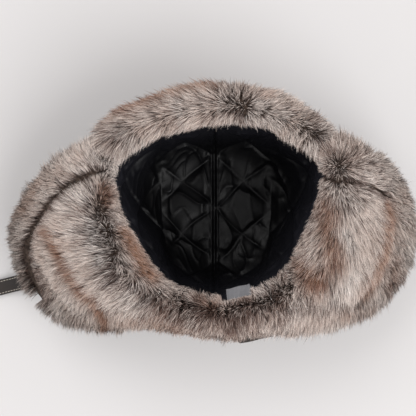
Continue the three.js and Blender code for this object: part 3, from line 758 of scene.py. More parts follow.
def pelt_marks_and_shadows(pixels):
    """Lightness and warmth of the pelt, with the painted shadow lines along its grooves: each mark adds a
    bell-shaped share across its line.
    """
    light = np.zeros(len(pixels))
    warm = np.zeros(len(pixels))
    for mark in PELT_MARKS_AND_SHADOWS:
        line = np.array(mark["line"], float)
        nearest = np.full(len(pixels), 1e9)
        for start, end in zip(line[:-1], line[1:]):
            run = end - start
            share = np.clip(((pixels - start) @ run) / (run @ run), 0, 1)
            gap = pixels - start - share[:, None] * run
            nearest = np.minimum(nearest, (gap ** 2).sum(axis=1))
        bell = np.exp(-nearest / (2 * mark["width"] ** 2))
        light += mark["light"] * bell
        warm += mark["warm"] * bell
    return light, warm


def parting_share(roots, tips, rng):
    """Share of its reach at which a hair stops: near where its line in the photograph meets a parting."""
    share = np.ones(len(roots))
    past = 0.95 + 0.3 * rng.random(len(roots))
    run = tips - roots
    for parting in PARTINGS:
        points = np.array(parting, float)
        for start, end in zip(points[:-1], points[1:]):
            side = end - start
            offset = start - roots
            cross = run[:, 0] * side[1] - run[:, 1] * side[0]
            cross = np.where(np.abs(cross) < 1e-9, 1e-9, cross)
            at_hair = (offset[:, 0] * side[1] - offset[:, 1] * side[0]) / cross
            at_line = (offset[:, 0] * run[:, 1] - offset[:, 1] * run[:, 0]) / cross
            meets = (at_hair > 0) & (at_hair < 1) & (at_line >= 0) & (at_line <= 1)
            share = np.where(meets, np.minimum(share, np.maximum(at_hair * past, 0.15)), share)
    return share


def spread_roots(band, turn_from, turn_to, count, fur_length, rng):
    """Places of the hairs: evenly over the outer form of the fur, with more at its two edges. The form
    is cut into cells, each takes hairs by its area, and each hair has a random place in its cell."""
    turns = np.linspace(turn_from, turn_to, 121)
    places = np.linspace(0, 1, 41)
    turn, along = np.meshgrid(turns, places, indexing="ij")
    radius, height, out, up, length = fur_growth(band, turn, along, fur_length)
    tips = polar_point(radius + out * length, height + up * length, turn)
    across = np.diff(tips, axis=0)[:, :-1]
    down = np.diff(tips, axis=1)[:-1]
    area = np.linalg.norm(np.cross(across, down), axis=-1)
    middle = (places[:-1] + places[1:]) / 2
    area *= 1 + 0.9 * np.exp(-(middle / 0.06) ** 2) + 0.9 * np.exp(-((1 - middle) / 0.08) ** 2)
    share = np.cumsum(area.ravel())
    picks = np.searchsorted(share, (np.arange(count) + rng.random(count)) / count * share[-1])
    row, column = np.unravel_index(np.minimum(picks, area.size - 1), area.shape)
    turn = turns[row] + rng.random(count) * (turns[1] - turns[0])
    along = places[column] + rng.random(count) * (places[1] - places[0])
    return turn, along


def unit(vectors):
    """Vectors brought to length one."""
    return vectors / (np.linalg.norm(vectors, axis=-1, keepdims=True) + 1e-9)


def tuft_pull(turn, along, band, size, rng):
    """Tufts: the flap is cut into staggered cells about one tuft across. Gives each hair's offset from
    its tuft's middle, round the flap and along it, and the tuft's own four random numbers."""
    table = rng.random((TUFT_TABLE, 6))
    arc = np.radians(turn) * MEAN_TUFT_RADIUS
    run = along * (band["reach"](turn) + MEAN_TUFT_RUN)
    row = np.floor(run / size)
    column = np.floor(arc / size + 0.5 * np.mod(row, 2))
    key = np.mod(row * 73 + column * 151, TUFT_TABLE).astype(int)
    chance = table[key]
    middle_arc = (column + 0.25 + 0.5 * chance[:, 0] - 0.5 * np.mod(row, 2)) * size
    middle_run = (row + 0.25 + 0.5 * chance[:, 1]) * size
    return arc - middle_arc, run - middle_run, chance[:, 2:]


def hair_lines(band, turn, along, sizes, rng):
    """Lines of the hairs as four points each. A hair leaves the leather in the fur's own direction,
    bends over towards the lie of the fur by nearly the square of its place, and is drawn towards its
    tuft's tip. Gives the lines, the hairs' own directions and the chances of their tufts."""
    count = len(turn)
    fur_length, tuft = sizes.fur_length / MM, sizes.tuft / MM
    radius, height, out, up, length = fur_growth(band, turn, along, fur_length)
    outwards, upwards = flap_upright(band["line"], turn, along)
    root_rise = FLAP_WALL / 2 + CLEARANCE + ROOT_RISE
    root = polar_point(radius + outwards * root_rise, height + upwards * root_rise, turn)
    grow = polar_point(out, up, turn)
    ahead = polar_point(up, -out, turn)
    angle = np.radians(turn)
    round_way = np.stack([-np.sin(angle), np.cos(angle), 0 * angle], axis=-1)
    off_arc, off_run, chance = tuft_pull(turn, along, band, tuft, rng)
    _, _, lock_chance = tuft_pull(turn, along, band, tuft * LOCK_SIZE, rng)
    off_arc2, off_run2, wisp_chance = tuft_pull(turn, along, band, tuft * WISP_SIZE, rng)

    plan = fur_lie(photo_pixel(root + grow * length[:, None]))
    lie = np.concatenate([plan, np.zeros((count, 1))], axis=1)
    lie = lie + round_way * (chance[:, 0:1] - 0.5) * 0.5 + round_way * (lock_chance[:, 0:1] - 0.5) * 0.45
    lie = lie + rng.normal(size=(count, 3)) * LIE_SPREAD
    first, last = band["ends"]
    arc = np.radians(1.0) * radius
    lie += round_way * (np.exp(-((last - turn) * arc / END_SPLAY_REACH) ** 2)
                        - np.exp(-((turn - first) * arc / END_SPLAY_REACH) ** 2))[:, None] * END_SPLAY
    lie -= grow * (lie * grow).sum(axis=1, keepdims=True)

    scatter = 0.84 + 0.26 * rng.random(count) + 0.14 * (chance[:, 1] - 0.5)
    scatter = scatter + 0.12 * (lock_chance[:, 1] - 0.5)
    scatter = np.where(rng.random(count) < LONG_HAIRS, scatter * LONG_HAIR_GROWTH, scatter)
    trim = 1 - INNER_TRIM * np.exp(-(along * band["reach"](turn) / INNER_TRIM_REACH) ** 2)
    full = FULL_GROWTH * length * scatter * trim
    tips = root + (grow * 0.7 + lie * sizes.lie) * full[:, None]
    full *= parting_share(photo_pixel(root), photo_pixel(tips), rng)
    tilt = sizes.lie * (0.75 + 0.35 * rng.random(count))
    place = SEGMENT_PLACES[None, :, None]
    rise = full[:, None, None] * (place - 0.3 * place ** 2)
    swing = full[:, None, None] * tilt[:, None, None] * place ** 1.9
    curl = rng.normal(size=(count, 1, 3)) * 0.6 * place ** 2
    pull = TUFT_PULL * place ** 1.6
    drawn = -(round_way * off_arc[:, None] + ahead * off_run[:, None])[:, None] * pull
    drawn2 = -(round_way * off_arc2[:, None] + ahead * off_run2[:, None])[:, None] * pull * 2.0
    line = root[:, None] + grow[:, None] * rise + lie[:, None] * swing + curl + drawn + drawn2
    line[..., 2] = np.maximum(line[..., 2], LOWEST_HAIR)
    return line, grow, (chance, lock_chance, wisp_chance)


def hair_ribbons(line, grow, hair_width, rng):
    """Tapered ribbons on the lines, of two quads and a tip each. Their shading faces up from the pelt
    and round the hair. Gives vertices, normals and faces."""
    count = len(line)
    tangent = unit(np.gradient(line, axis=1))
    face = grow[:, None] * 0.6 + np.array([0, 0, 0.6]) + rng.normal(size=(count, 1, 3)) * 0.5
    side = unit(np.cross(tangent, face))
    shade = grow[:, None] * 0.8 + np.array([0, 0, 0.35]) + rng.normal(size=(count, 1, 3)) * 0.28
    shade = unit(shade - tangent * (shade * tangent).sum(axis=-1, keepdims=True) * 0.55)
    half = hair_width / 2 * (0.75 + 0.5 * rng.random(count))
    shift = side[:, :3] * (half[:, None] * RIBBON_TAPER)[..., None]
    edges = np.stack([line[:, :3] - shift, line[:, :3] + shift], axis=2).reshape(count, 6, 3)
    vertices = np.concatenate([edges, line[:, 3:4]], axis=1)
    normals = np.concatenate([np.repeat(shade[:, :3], 2, axis=1), shade[:, 3:4]], axis=1)
    start = (np.arange(count) * 7)[:, None]
    quads = np.concatenate([start + np.array([[0, 1, 3, 2]]), start + np.array([[2, 3, 5, 4]])], axis=1)
    faces = [quads.reshape(-1, 4), start + np.array([[4, 5, 6]])]
    return vertices.reshape(-1, 3), normals.reshape(-1, 3), faces


def hair_colours(line, chances, lightness, rng):
    """Place of each hair on the colour map, in the order of the ribbons' corners: the marks of the pelt and
    its painted groove shadows where the hair shows, with chances for its tufts and for itself."""
    count = len(line)
    chance, lock_chance, wisp_chance = chances
    light, warm = pelt_marks_and_shadows(photo_pixel(line[:, 2]))
    light = lightness + light + 0.8 * (rng.random(count) - 0.5) + 0.7 * (wisp_chance[:, 2] - 0.5)
    light += 0.22 * (chance[:, 2] - 0.5) + 0.2 * (lock_chance[:, 2] - 0.5)
    streak = rng.random(count)
    pale = np.where(streak > 1 - PALE_HAIRS, light + 0.3, light)
    light = np.where(streak < DARK_HAIRS, light - 0.5, pale)
    warm = MEAN_WARMTH + warm + 0.2 * (rng.random(count) - 0.5) + 0.25 * (lock_chance[:, 3] - 0.5)
    light = np.clip(light, 0.04, 0.96)
    step = np.clip(np.round(warm * (WARM_STEPS - 1)), 0, WARM_STEPS - 1)
    u = (step + light) / WARM_STEPS

    def corner(place, side):
        return np.stack([u + side * MAP_HALF_WIDTH, np.full(count, MAP_PLACES[place])], axis=-1)

    lower = np.stack([corner(0, -1), corner(0, 1), corner(1, 1), corner(1, -1)], axis=1)
    upper = np.stack([corner(1, -1), corner(1, 1), corner(2, 1), corner(2, -1)], axis=1)
    quad_uv = np.stack([lower, upper], axis=1).reshape(-1, 2)
    tip_uv = np.stack([corner(2, -1), corner(2, 1), corner(3, 0)], axis=1).reshape(-1, 2)
    return np.concatenate([quad_uv, tip_uv])


def make_fur(name, band, turn_from, turn_to, count, sizes, seed):
    """Joined hairs of a stretch of a flap, each a tapered ribbon of three parts."""
    rng = np.random.default_rng(seed)
    turn, along = spread_roots(band, turn_from, turn_to, count, sizes.fur_length / MM, rng)
    line, grow, chances = hair_lines(band, turn, along, sizes, rng)
    vertices, normals, faces = hair_ribbons(line, grow, sizes.hair_width / MM, rng)
    uv = hair_colours(line, chances, sizes.lightness, rng)
    piece = add_object(name, vertices, faces, uv)
    piece.data.normals_split_custom_set_from_vertices(normals)
    return piece


def make_pelt(name, band, turn_from, turn_to, fur_length, columns):
    """Underfur: a closed pad on the leather. Its outside follows the fur's form at about half its
    length, with a fine unevenness, and its underside lies on the leather."""
    turn, along = flap_grid(turn_from, turn_to, columns, 26)
    under = beside_flap(band["line"], turn, along, FLAP_WALL / 2 + CLEARANCE)
    radius, height, out, up, length = fur_growth(band, turn, along, fur_length)
    inwards = np.clip(along * band["reach"](turn) / PELT_EDGE, 0, 1)
    rise = np.maximum(length * PELT_SHARE * (0.25 + 0.75 * inwards), PELT_LEAST)
    over = polar_point(radius + out * rise, height + up * rise, turn)
    rise = rise + 1.0 * noise_waves(over, 9.0, 5)
    over = polar_point(radius + out * rise, height + up * rise, turn)
    return loft(name, np.concatenate([under, over[:, ::-1]], axis=1))


def seam_offset(y):
    """Distance of a side seam from the middle, nearer behind."""
    return SIDE_SEAM - SIDE_SEAM_BACK * (np.minimum(y, 0) / SIDE_SEAM_REACH) ** 2


def lining_relief(points, along):
    """Height of the quilted lining above its seams: puffed diamonds between crossing stitch lines,
    loose folds that run from seam to seam, a few gathers at the seams and a double ridge along the
    middle seam with a stitched groove in it."""
    x, y, z = points[..., 0] - MIDDLE_SEAM_X, points[..., 1], points[..., 2]
    past_seam = np.abs(points[..., 0] - SIDE_SEAMS_X) - seam_offset(y)
    side_gap = np.abs(past_seam)
    is_side = past_seam > 0
    across = np.where(is_side, y, x)
    run = np.where(is_side, z + 0.4 * np.abs(x), y + z * y / (np.abs(y) + 25.0))
    drift = QUILT_DRIFT * noise_waves(points, 60.0, 3)
    one = np.abs(np.sin(np.pi * (across + run + drift) / QUILT_PITCH))
    two = np.abs(np.sin(np.pi * (across - run + drift) / QUILT_PITCH))
    puff = QUILT_PUFF * (1 - np.exp(-one / CREASE_SHARE)) * (1 - np.exp(-two / CREASE_SHARE))
    puff = puff * (0.55 + 0.45 * np.sqrt(one * two))
    slant = np.stack([points[..., 0] * 0.9 + z * 0.5, y * 0.45, z * 0.35], axis=-1)
    other = np.stack([points[..., 0] * 0.9 - z * 0.5, y * 0.4, z * 0.35], axis=-1)
    loose = 1 - np.abs(noise_waves(slant, 26.0, 21, 9))
    tight = 1 - np.abs(noise_waves(other, 17.0, 22, 9))
    folds = LOOSE_FOLD * np.clip(loose, 0, 1) ** 5 + TIGHT_FOLD * np.clip(tight, 0, 1) ** 6
    sag = 1 - np.abs(noise_waves(points * np.array([0.55, 0.55, 1.0]), 26.0, 23, 9))
    folds += SAG * np.clip(sag, 0, 1) ** 4 * np.clip((z - 25.0) / 30.0, 0, 1)
    ridge = RIDGE_RISE * np.exp(-((np.abs(x) - RIDGE_OFF) / RIDGE_WIDTH) ** 2)
    ridge = ridge - GROOVE_SINK * np.exp(-(x / GROOVE_HALF) ** 2)
    gathers = 0.5 * np.exp(-(side_gap / 8.0) ** 2) * noise_waves(points * np.array([0.4, 1, 1]), 8.0, 12)
    gathers += 0.45 * np.exp(-(x / 8.0) ** 2) * noise_waves(points * np.array([0.3, 1, 1]), 8.0, 13)
    middle = np.clip(np.abs(x) / 12.0, 0, 1)
    side = np.clip(side_gap / 9.0, 0, 1)
    stitched = np.clip(np.minimum(one, two) / 0.25, 0, 1)
    hem = np.clip((1 - along) / 0.05, 0, 1)
    return (puff * middle * side + folds * stitched * np.sqrt(middle * side) + ridge + gathers) * hem


def make_lining():
    """Quilted lining: a bowl whose outside fits the crown and whose inside carries the relief."""
    columns = 320
    seat = CROWN_WALL + CLEARANCE
    turn, along = round_grid(columns, np.linspace(0.02, 1, 16))
    outside = crown_point(turn, along, seat)
    turn, along = round_grid(columns, np.linspace(1, 0.012, 140))
    base = crown_point(turn, along, seat + LINING_WALL)
    relief = lining_relief(base, along)
    inside = crown_point(turn, along, seat + LINING_WALL + relief)
    return ringed_body("quilted_lining", np.concatenate([outside, inside]))


def make_crown():
    """Leather crown: a smooth bowl with sunk panel seams, raised beside them, and soft dents."""
    columns = 240
    turn, along = round_grid(columns, np.linspace(0.02, 1, 72))
    flat = crown_point(turn, along, 0.0)
    gap = np.minimum(np.abs(np.abs(flat[..., 0]) - seam_offset(flat[..., 1])), np.abs(flat[..., 0]))
    seam = 1.3 * np.exp(-(gap / 1.3) ** 2) - 0.5 * np.exp(-((gap - 4.0) / 2.2) ** 2)
    off_floor = np.clip(flat[..., 2] / 12.0, 0, 1)
    dents = 1.4 * noise_waves(flat, 60.0, 31) + 0.5 * noise_waves(flat * np.array([1, 1, 0.5]), 20.0, 32)
    near_rim = np.clip((1 - along) / 0.1, 0, 1)
    outside = crown_point(turn, along, (seam + 0.9 + np.clip(dents, -0.9, 1.6)) * off_floor * near_rim)
    turn, along = round_grid(columns, np.linspace(1, 0.02, 10))
    inside = crown_point(turn, along, CROWN_WALL)
    return ringed_body("leather_crown", np.concatenate([outside, inside]))


def make_flap_leather(name, line, turn_from, turn_to, columns, edge_reach=None):
    """Leather of a flap: a wall of one thickness on its middle line, with soft folds towards its edge."""
    turn, along = flap_grid(turn_from, turn_to, columns, 24)
    middle = beside_flap(line, turn, along, 0.0)
    folds = 0.35 * noise_waves(middle, 34.0, 41) * np.clip(along * 3, 0, 1)
    if edge_reach is not None:
        stretch = edge_reach(turn) * along ** 3
        way = np.array([1.0, 1.0, 0.0]) * polar_point(stretch, 0 * stretch, turn)
    else:
        way = 0.0
    top = beside_flap(line, turn, along, FLAP_WALL / 2 - 0.35 + folds * 0.4) + way
    bottom = beside_flap(line, turn, along, -FLAP_WALL / 2 + 0.25 + folds) + way
    return loft(name, np.concatenate([top, bottom[:, ::-1]], axis=1))


def neck_edge_reach(turn):
    """Extra reach of the neck band's leather where its stitched edge shows behind the fur."""
    start = np.clip((turn - NECK_SHOW_FROM) / 3.0, 0, 1)
    end = np.clip((NECK_SHOW_TO - turn) / 6.0, 0, 1)
    return NECK_SHOW * start ** 2 * (3 - 2 * start) * end ** 2 * (3 - 2 * end)


def make_stitches(name, line, normal, pitch, length, width):
    """Stitches along a line of points: each a small six-sided spindle laid on the surface, its radius
    a half ellipse of its place, every pitch."""
    reach = reach_along(line)
    count = max(int(reach[-1] / pitch), 2)
    middles = (np.arange(count) + 0.5) * pitch
    facing = read_line(normal, reach, middles)
    rings = np.array([-1.0, -0.55, 0.0, 0.55, 1.0])
    sides = np.arange(6) * np.pi / 3
    run = middles[:, None] + rings[None, :] * length / 2
    centre = read_line(line, reach, run)
    tangent = unit(read_line(line, reach, middles + 0.2) - read_line(line, reach, middles - 0.2))
    across = unit(np.cross(facing, tangent))
    size = width / 2 * np.sqrt(np.maximum(1 - 0.92 * rings ** 2, 0))
    lift = (facing * 0.12)[:, None, None]
    ring = (across[:, None, None] * np.cos(sides)[None, None, :, None]
            + facing[:, None, None] * np.sin(sides)[None, None, :, None])
    points = centre[:, :, None] + ring * size[None, :, None, None] + lift
    vertices = points.reshape(-1, 3)
    one = grid_faces(len(rings), 6)
    start = (np.arange(count) * len(rings) * 6)[:, None, None]
    quads = (one[None] + start).reshape(-1, 4)
    cap = np.array([[5, 4, 3, 2, 1, 0]])
    caps = np.concatenate([cap, cap[:, ::-1] + (len(rings) - 1) * 6])
    caps = (caps[None] + start).reshape(-1, 6)
    piece = add_object(name, vertices, [quads, caps])
    face_out(piece)
    return piece


def strap_frame(count):
    """Chin strap's middle line and its sideways and upward directions: sewn flat under the ear flap,
    then free to the floor. The line is a smooth curve through the route's points by their spacing."""
    under = -(FLAP_WALL / 2 + CURVE_CLEARANCE + STRAP_THICKNESS / 2)
    sewn = beside_flap(ear_flap_line, np.full(4, STRAP_TURN), np.linspace(STRAP_SEWN_FROM, 1, 4), under)
    edge = sewn[-1]
    floor = STRAP_FLOOR_GAP + STRAP_THICKNESS / 2
    reach = polar_point(STRAP_REACH, 0.0, STRAP_HEADING)
    free = [[edge[0] + reach[0] * row["out"], edge[1] + reach[1] * row["out"],
             edge[2] + (floor - edge[2]) * row["down"]] for row in STRAP_ROWS]
    route = np.concatenate([sewn, np.array(free)])
    gaps = np.concatenate([[0], np.cumsum(np.linalg.norm(np.diff(route, axis=0), axis=1) ** 0.5)])
    rows = [{"k": k, "x": p[0], "y": p[1], "z": p[2]} for k, p in zip(gaps, route)]
    fine = np.linspace(0, gaps[-1], 600)
    line = np.stack([smooth_column(rows, "k", axis, fine) for axis in "xyz"], axis=-1)
    run = reach_along(line)
    even = np.linspace(0, run[-1], count)
    line = read_line(line, run, even)
    along = np.gradient(line, axis=0)
    along /= np.linalg.norm(along, axis=1, keepdims=True)
    level = np.stack([-along[:, 1], along[:, 0], 0 * along[:, 0]], axis=-1)
    level /= np.linalg.norm(level, axis=1, keepdims=True)
    across = (beside_flap(ear_flap_line, STRAP_TURN - 1, 0.85, 0.0)
              - beside_flap(ear_flap_line, STRAP_TURN + 1, 0.85, 0.0))
    across /= np.linalg.norm(across)
    sewn_share = np.clip((even / run[-1] - 0.4) / 0.35, 0, 1)[:, None]
    side = across * (1 - sewn_share) + level * sewn_share
    side -= along * (side * along).sum(axis=1, keepdims=True)
    side /= np.linalg.norm(side, axis=1, keepdims=True)
    return line, along, side, np.cross(along, side), even


def make_strap():
    """Chin strap: a flat section with softly rounded edges, a shallow dip along each stitch line and a
    rounded free end, carried along its line."""
    line, _, side, up, even = strap_frame(STRAP_POINTS)
    total = even[-1]
    past = np.clip((even - (total - STRAP_WIDTH / 2)) / (STRAP_WIDTH / 2), 0, 0.995)
    half = STRAP_WIDTH / 2 * np.sqrt(1 - past ** 2)
    around = np.linspace(0, 2 * np.pi, 40, endpoint=False)
    power = 0.35
    flat_x = np.sign(np.cos(around)) * np.abs(np.cos(around)) ** power
    flat_z = np.sign(np.sin(around)) * np.abs(np.sin(around)) ** 0.6
    across = half[:, None] * flat_x[None]
    groove = 0.3 * np.exp(-((np.abs(flat_x) * STRAP_WIDTH / 2 - 5.9) / 0.7) ** 2)
    thick = (STRAP_THICKNESS / 2 - groove)[None] * flat_z[None] * np.minimum(1, half / 2)[:, None]
    sections = line[:, None] + side[:, None] * across[..., None] + up[:, None] * thick[..., None]
    return loft("leather_chin_strap", sections)


def make_strap_stitches():
    """Two lines of stitches near the strap's edges, on its upper side, that meet round its free end."""
    line, along, side, up, even = strap_frame(STRAP_POINTS)
    total = even[-1]
    inset = STRAP_STITCH_INSET
    straight = even < total - STRAP_WIDTH / 2
    rise = up * (STRAP_THICKNESS / 2 - 0.16)
    one = (line + side * (STRAP_WIDTH / 2 - inset) + rise)[straight]
    two = (line - side * (STRAP_WIDTH / 2 - inset) + rise)[straight]
    centre = (line + rise)[straight][-1]
    turn = np.linspace(np.pi / 2, -np.pi / 2, 24)[1:-1, None]
    radius = STRAP_WIDTH / 2 - inset
    tip = centre + along[straight][-1] * np.cos(turn) * radius + side[straight][-1] * np.sin(turn) * radius
    path = np.concatenate([one, tip, two[::-1]])
    tip_facing = np.repeat(up[straight][-1:], len(tip), axis=0)
    facing = np.concatenate([up[straight], tip_facing, up[straight][::-1]])
    return make_stitches("chin_strap_stitches", path, facing, **STRAP_STITCH)


def make_label():
    """Label: a thin sheet sewn in at the lining's top edge, which hangs off it with a slight curl, and
    has folded ends."""
    inset = CROWN_WALL + CLEARANCE + LINING_WALL + CURVE_CLEARANCE
    half_turn = np.degrees(LABEL_WIDTH / 2 / (rim_radius(LABEL_TURN) - inset))
    turns = np.linspace(LABEL_TURN - half_turn, LABEL_TURN + half_turn, 40)[:, None]
    down = np.linspace(0, LABEL_HEIGHT, 26)[None, :]
    turn, down = np.broadcast_arrays(turns, down)
    share = (turn - LABEL_TURN) / half_turn
    tilt = np.radians(LABEL_TILT)
    bow = 0.7 * (down / LABEL_HEIGHT) ** 2 * np.cos(share * np.pi) + 0.25 * noise_waves(
        np.stack([share * 13, down, 0 * down], axis=-1), 12.0, 51)
    top = rim_radius(turn) - inset
    height = RIM_HEIGHT - LABEL_BELOW_RIM
    fold = 0.25 * (np.abs(share) > 0.88)

    def sheet(lift):
        lift = lift + bow * np.clip(down / 4, 0, 1)
        radius = top - down * np.sin(tilt) - lift * np.cos(tilt)
        return polar_point(radius, height - down * np.cos(tilt) + lift * np.sin(tilt), turn)

    front = sheet(LABEL_THICKNESS + fold)
    back = sheet(0.0)
    return loft("bare_lining_label", np.concatenate([front, back[:, ::-1]], axis=1))


class HatSizes(bpy.types.PropertyGroup):
    """Sizes of the hat's looks."""

    fur_length: bpy.props.FloatProperty(
        name="Fur length", description="Length of the fur from the leather", default=0.023,
        min=0.005, max=0.06, unit="LENGTH")
    hair_width: bpy.props.FloatProperty(
        name="Hair width", description="Width of a drawn hair, coarse enough to show", default=0.00045,
        min=0.0001, max=0.002, unit="LENGTH")
    tuft: bpy.props.FloatProperty(
        name="Tuft", description="Width of a tuft of hairs", default=0.0045,
        min=0.002, max=0.03, unit="LENGTH")
    lie: bpy.props.FloatProperty(
        name="Lie", description="How far the hairs bend over, as a share of their length", default=0.63,
        min=0.0, max=1.0, subtype="FACTOR")
    lightness: bpy.props.FloatProperty(
        name="Lightness", description="Mean lightness of the pelt", default=0.83,
        min=0.0, max=1.0, subtype="FACTOR")


class HatColours(bpy.types.PropertyGroup):
    """Colours of the hat, as sRGB hex values."""

    # The root colour is partly the pile's own and partly painted shade deep in the fur.
    root: bpy.props.StringProperty(name="Fur roots", description="Colour at the roots", default="#231D1B")
    tip: bpy.props.StringProperty(name="Fur tips", description="Colour near the tips", default="#FAEFE8")
    brown: bpy.props.StringProperty(
        name="Fur brown", description="Colour of the brown bands", default="#A0765E")
    leather: bpy.props.StringProperty(
        name="Leather", description="Colour of the leather", default="#15100E")
    leather_worn: bpy.props.StringProperty(
        name="Worn leather", description="Colour of the leather's rubbed spots", default="#2A211D")
    # The satin colour is the darkest stop of the lining's painted shade, at the bottom of the crown.
    satin: bpy.props.StringProperty(name="Satin", description="Colour of the lining", default="#050507")
    label: bpy.props.StringProperty(name="Label", description="Colour of the label", default="#97979B")
    thread: bpy.props.StringProperty(name="Thread", description="Colour of the stitches", default="#D2CABF")
    floor: bpy.props.StringProperty(name="Floor", description="Colour of the floor", default="#D8D6D6")


def shared_material(name, maker, context):
    """The material of that name, made once."""
    return bpy.data.materials.get(name) or maker(context.scene.hat_colours)


class HAT_OT_stage(bpy.types.Operator):
    """Floor, soft light and the camera above the hat"""

    bl_idname = "hat.stage"
    bl_label = "Stage"

    def execute(self, context):
        scene = context.scene
        half = FLOOR_WIDTH / 2
        corners = np.array([[-half, -half, 0], [half, -half, 0], [half, half, 0], [-half, half, 0]])
        floor = add_object("paper_floor", corners, [np.array([[0, 1, 2, 3]])])
        floor.data.materials.append(floor_material(scene.hat_colours))

        world = bpy.data.worlds.new("soft_studio")
        world.use_nodes = True
        tree = world.node_tree
        way = add_node(tree, "ShaderNodeTexCoord").outputs["Generated"]
        height = add_node(tree, "ShaderNodeSeparateXYZ", links={"Vector": way}).outputs["Z"]
        ceiling = ramp(tree, height, [
            (0.0, "#EDEBEA"), (0.6, "#EDEBEA"), (0.9, "#A5A3A3"), (1.0, "#7A7879")])
        tree.links.new(ceiling, tree.nodes["Background"].inputs["Color"])
        tree.nodes["Background"].inputs["Strength"].default_value = WORLD_STRENGTH
        scene.world = world
        self.add_softbox("key_softbox", (1.0, -1.0, 1.8), power=32.0)
        self.add_softbox("fill_softbox", (-1.0, 1.1, 1.8), power=18.0)

        camera_data = bpy.data.cameras.new("camera")
        camera_data.sensor_width = SENSOR_WIDTH
        frame_width = 2 * CENTRE_PX * PIXEL
        camera_data.lens = camera_data.sensor_width * CAMERA_ABOVE_RIM / frame_width
        camera = bpy.data.objects.new("camera", camera_data)
        camera.location = (-VIEW_SHIFT * MM, 0.0, (CAMERA_ABOVE_RIM + RIM_HEIGHT) * MM)
        scene.collection.objects.link(camera)
        scene.camera = camera
        scene.view_settings.view_transform = "Standard"
        return {"FINISHED"}

    def add_softbox(self, name, place, power):
        """Square area light of a power in watts, at a place in metres, that points at the hat."""
        light = bpy.data.lights.new(name, "AREA")
        light.size = SOFTBOX_SIZE
        light.energy = power
        lamp = bpy.data.objects.new(name, light)
        lamp.location = place
        lamp.rotation_euler = (-lamp.location).to_track_quat("-Z", "Y").to_euler()
        bpy.context.scene.collection.objects.link(lamp)


class HAT_OT_crown(bpy.types.Operator):
    """Leather crown with its panel seams"""

    bl_idname = "hat.crown"
    bl_label = "Crown"

    def execute(self, context):
        leather = shared_material("embossed_leather", leather_material, context)
        finish_piece(make_crown(), "leather", leather, "crown_shell")
        return {"FINISHED"}


class HAT_OT_lining(bpy.types.Operator):
    """Quilted satin lining and its bare label"""

    bl_idname = "hat.lining"
    bl_label = "Lining and label"

    def execute(self, context):
        lining = make_lining()
        satin = shared_material("lining_satin", satin_material, context)
        finish_piece(lining, "satin_lining", satin, "crown_lining")
        weave = shared_material("ribbed_label_satin", label_material, context)
        finish_piece(make_label(), "woven_label", weave, "lining_label")
        return {"FINISHED"}


class HAT_OT_flap_leather(bpy.types.Operator):
    """Leather backing of the front flap, the ear flaps and the neck band"""

    bl_idname = "hat.flap_leather"
    bl_label = "Flap leather"

    def execute(self, context):
        leather = shared_material("embossed_leather", leather_material, context)
        thread = shared_material("waxed_thread", thread_material, context)
        flaps = [
            ("front_flap", front_flap_line, FRONT_FLAP_FROM, FRONT_FLAP_TO, 110, None),
            ("ear_flap_left", ear_flap_line, EAR_FLAPS_FROM, NECK_FROM, 100, None),
            ("neck_flap", ear_flap_line, NECK_FROM + FLAP_GAP, NECK_TO, 90, neck_edge_reach),
            ("ear_flap_right", ear_flap_line, NECK_TO + FLAP_GAP, EAR_FLAPS_TO, 100, None),
        ]
        for node, line, start, end, columns, edge_reach in flaps:
            flap = make_flap_leather(f"leather_{node}", line, start, end, columns, edge_reach)
            finish_piece(flap, "leather", leather, node)
        turns = np.linspace(NECK_STITCH_FROM, NECK_STITCH_TO, 90)
        along = np.full(90, NECK_STITCH_ALONG)
        stretch = polar_point(neck_edge_reach(turns) * along ** 3, 0.0, turns)
        edge = beside_flap(ear_flap_line, turns, along, FLAP_WALL / 2 - 0.3) + stretch
        outwards, upwards = flap_upright(ear_flap_line, turns, along)
        facing = polar_point(outwards, upwards, turns)
        stitches = make_stitches("neck_edge_stitches", edge, facing, **NECK_STITCH)
        finish_piece(stitches, "leather", thread)
        return {"FINISHED"}


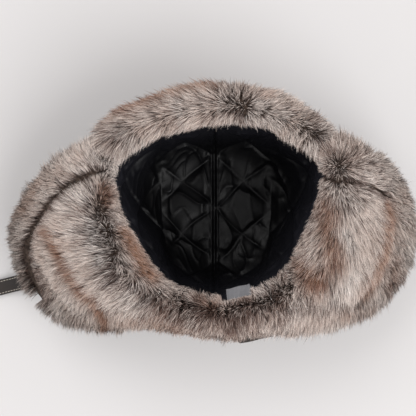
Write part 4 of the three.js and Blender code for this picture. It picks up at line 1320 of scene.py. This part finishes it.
class HAT_OT_fur(bpy.types.Operator):
    """Fur of every flap: dark underfur and long hairs"""

    bl_idname = "hat.fur"
    bl_label = "Fur"

    def execute(self, context):
        sizes = context.scene.hat_sizes
        fur = shared_material("acrylic_pile_fur", fur_material, context)
        under = shared_material("underfur", pelt_material, context)
        pads = [
            ("underfur_front", FRONT_BAND, FRONT_FLAP_FROM + PELT_INSET, FRONT_FLAP_TO - PELT_INSET, 120,
             "front_flap_fur"),
            ("underfur_left", EAR_BAND, EAR_FLAPS_FROM + PELT_INSET, NECK_FROM, 100, "ear_flap_fur_left"),
            ("underfur_neck", EAR_BAND, NECK_FROM + FLAP_GAP, NECK_TO, 60, "neck_flap_fur"),
            ("underfur_right", EAR_BAND, NECK_TO + FLAP_GAP, EAR_FLAPS_TO - PELT_INSET, 100,
             "ear_flap_fur_right"),
        ]
        for name, band, start, end, columns, node in pads:
            pad = make_pelt(name, band, start, end, sizes.fur_length / MM, columns)
            finish_piece(pad, "fur", under, node)
        share = 1.0
        coats = [
            ("fur_front_left", FRONT_BAND, FRONT_PARTING_TURN, FRONT_FLAP_TO, 20000, "front_flap_fur"),
            ("fur_front_right", FRONT_BAND, FRONT_FLAP_FROM, FRONT_PARTING_TURN, 18000, "front_flap_fur"),
            ("fur_ear_left_front", EAR_BAND, EAR_FLAPS_FROM, LEFT_COAT_TURN, 25000, "ear_flap_fur_left"),
            ("fur_ear_left_back", EAR_BAND, LEFT_COAT_TURN, NECK_FROM, 25000, "ear_flap_fur_left"),
            ("fur_neck", EAR_BAND, NECK_FROM, NECK_TO, 16000, "neck_flap_fur"),
            ("fur_ear_right_back", EAR_BAND, NECK_TO, RIGHT_COAT_TURN, 23000, "ear_flap_fur_right"),
            ("fur_ear_right_front", EAR_BAND, RIGHT_COAT_TURN, EAR_FLAPS_TO, 23000, "ear_flap_fur_right"),
        ]
        for seed, (name, band, start, end, count, node) in enumerate(coats):
            coat = make_fur(name, band, start, end, int(count * share), sizes, 100 + seed)
            finish_piece(coat, "fur", fur, node)
        return {"FINISHED"}


class HAT_OT_strap(bpy.types.Operator):
    """Leather chin strap and its light stitches"""

    bl_idname = "hat.strap"
    bl_label = "Chin strap"

    def execute(self, context):
        leather = shared_material("embossed_leather", leather_material, context)
        thread = shared_material("waxed_thread", thread_material, context)
        finish_piece(make_strap(), "leather", leather, "chin_strap")
        finish_piece(make_strap_stitches(), "leather", thread, "chin_strap")
        return {"FINISHED"}


STEPS = ("stage", "crown", "lining", "flap_leather", "fur", "strap")


class HAT_PT_panel(bpy.types.Panel):
    """Lists the steps that build the hat"""

    bl_idname = "HAT_PT_panel"
    bl_label = "Aviator Hat"
    bl_space_type = "VIEW_3D"
    bl_region_type = "UI"
    bl_category = "Hat"

    def draw(self, context):
        for step in STEPS:
            self.layout.operator(f"hat.{step}")
        for group in (context.scene.hat_sizes, context.scene.hat_colours):
            for name in group.__annotations__:
                self.layout.prop(group, name)


CLASSES = (
    HatSizes, HatColours, HAT_OT_stage, HAT_OT_crown, HAT_OT_lining, HAT_OT_flap_leather, HAT_OT_fur,
    HAT_OT_strap, HAT_PT_panel,
)


def register():
    for kept in CLASSES:
        bpy.utils.register_class(kept)
    bpy.types.Scene.hat_sizes = bpy.props.PointerProperty(type=HatSizes)
    bpy.types.Scene.hat_colours = bpy.props.PointerProperty(type=HatColours)


def unregister():
    del bpy.types.Scene.hat_colours
    del bpy.types.Scene.hat_sizes
    for kept in reversed(CLASSES):
        bpy.utils.unregister_class(kept)


def main():
    """Builds the hat step by step."""
    register()
    for step in STEPS:
        getattr(bpy.ops.hat, step)()


if __name__ == "__main__":
    main()
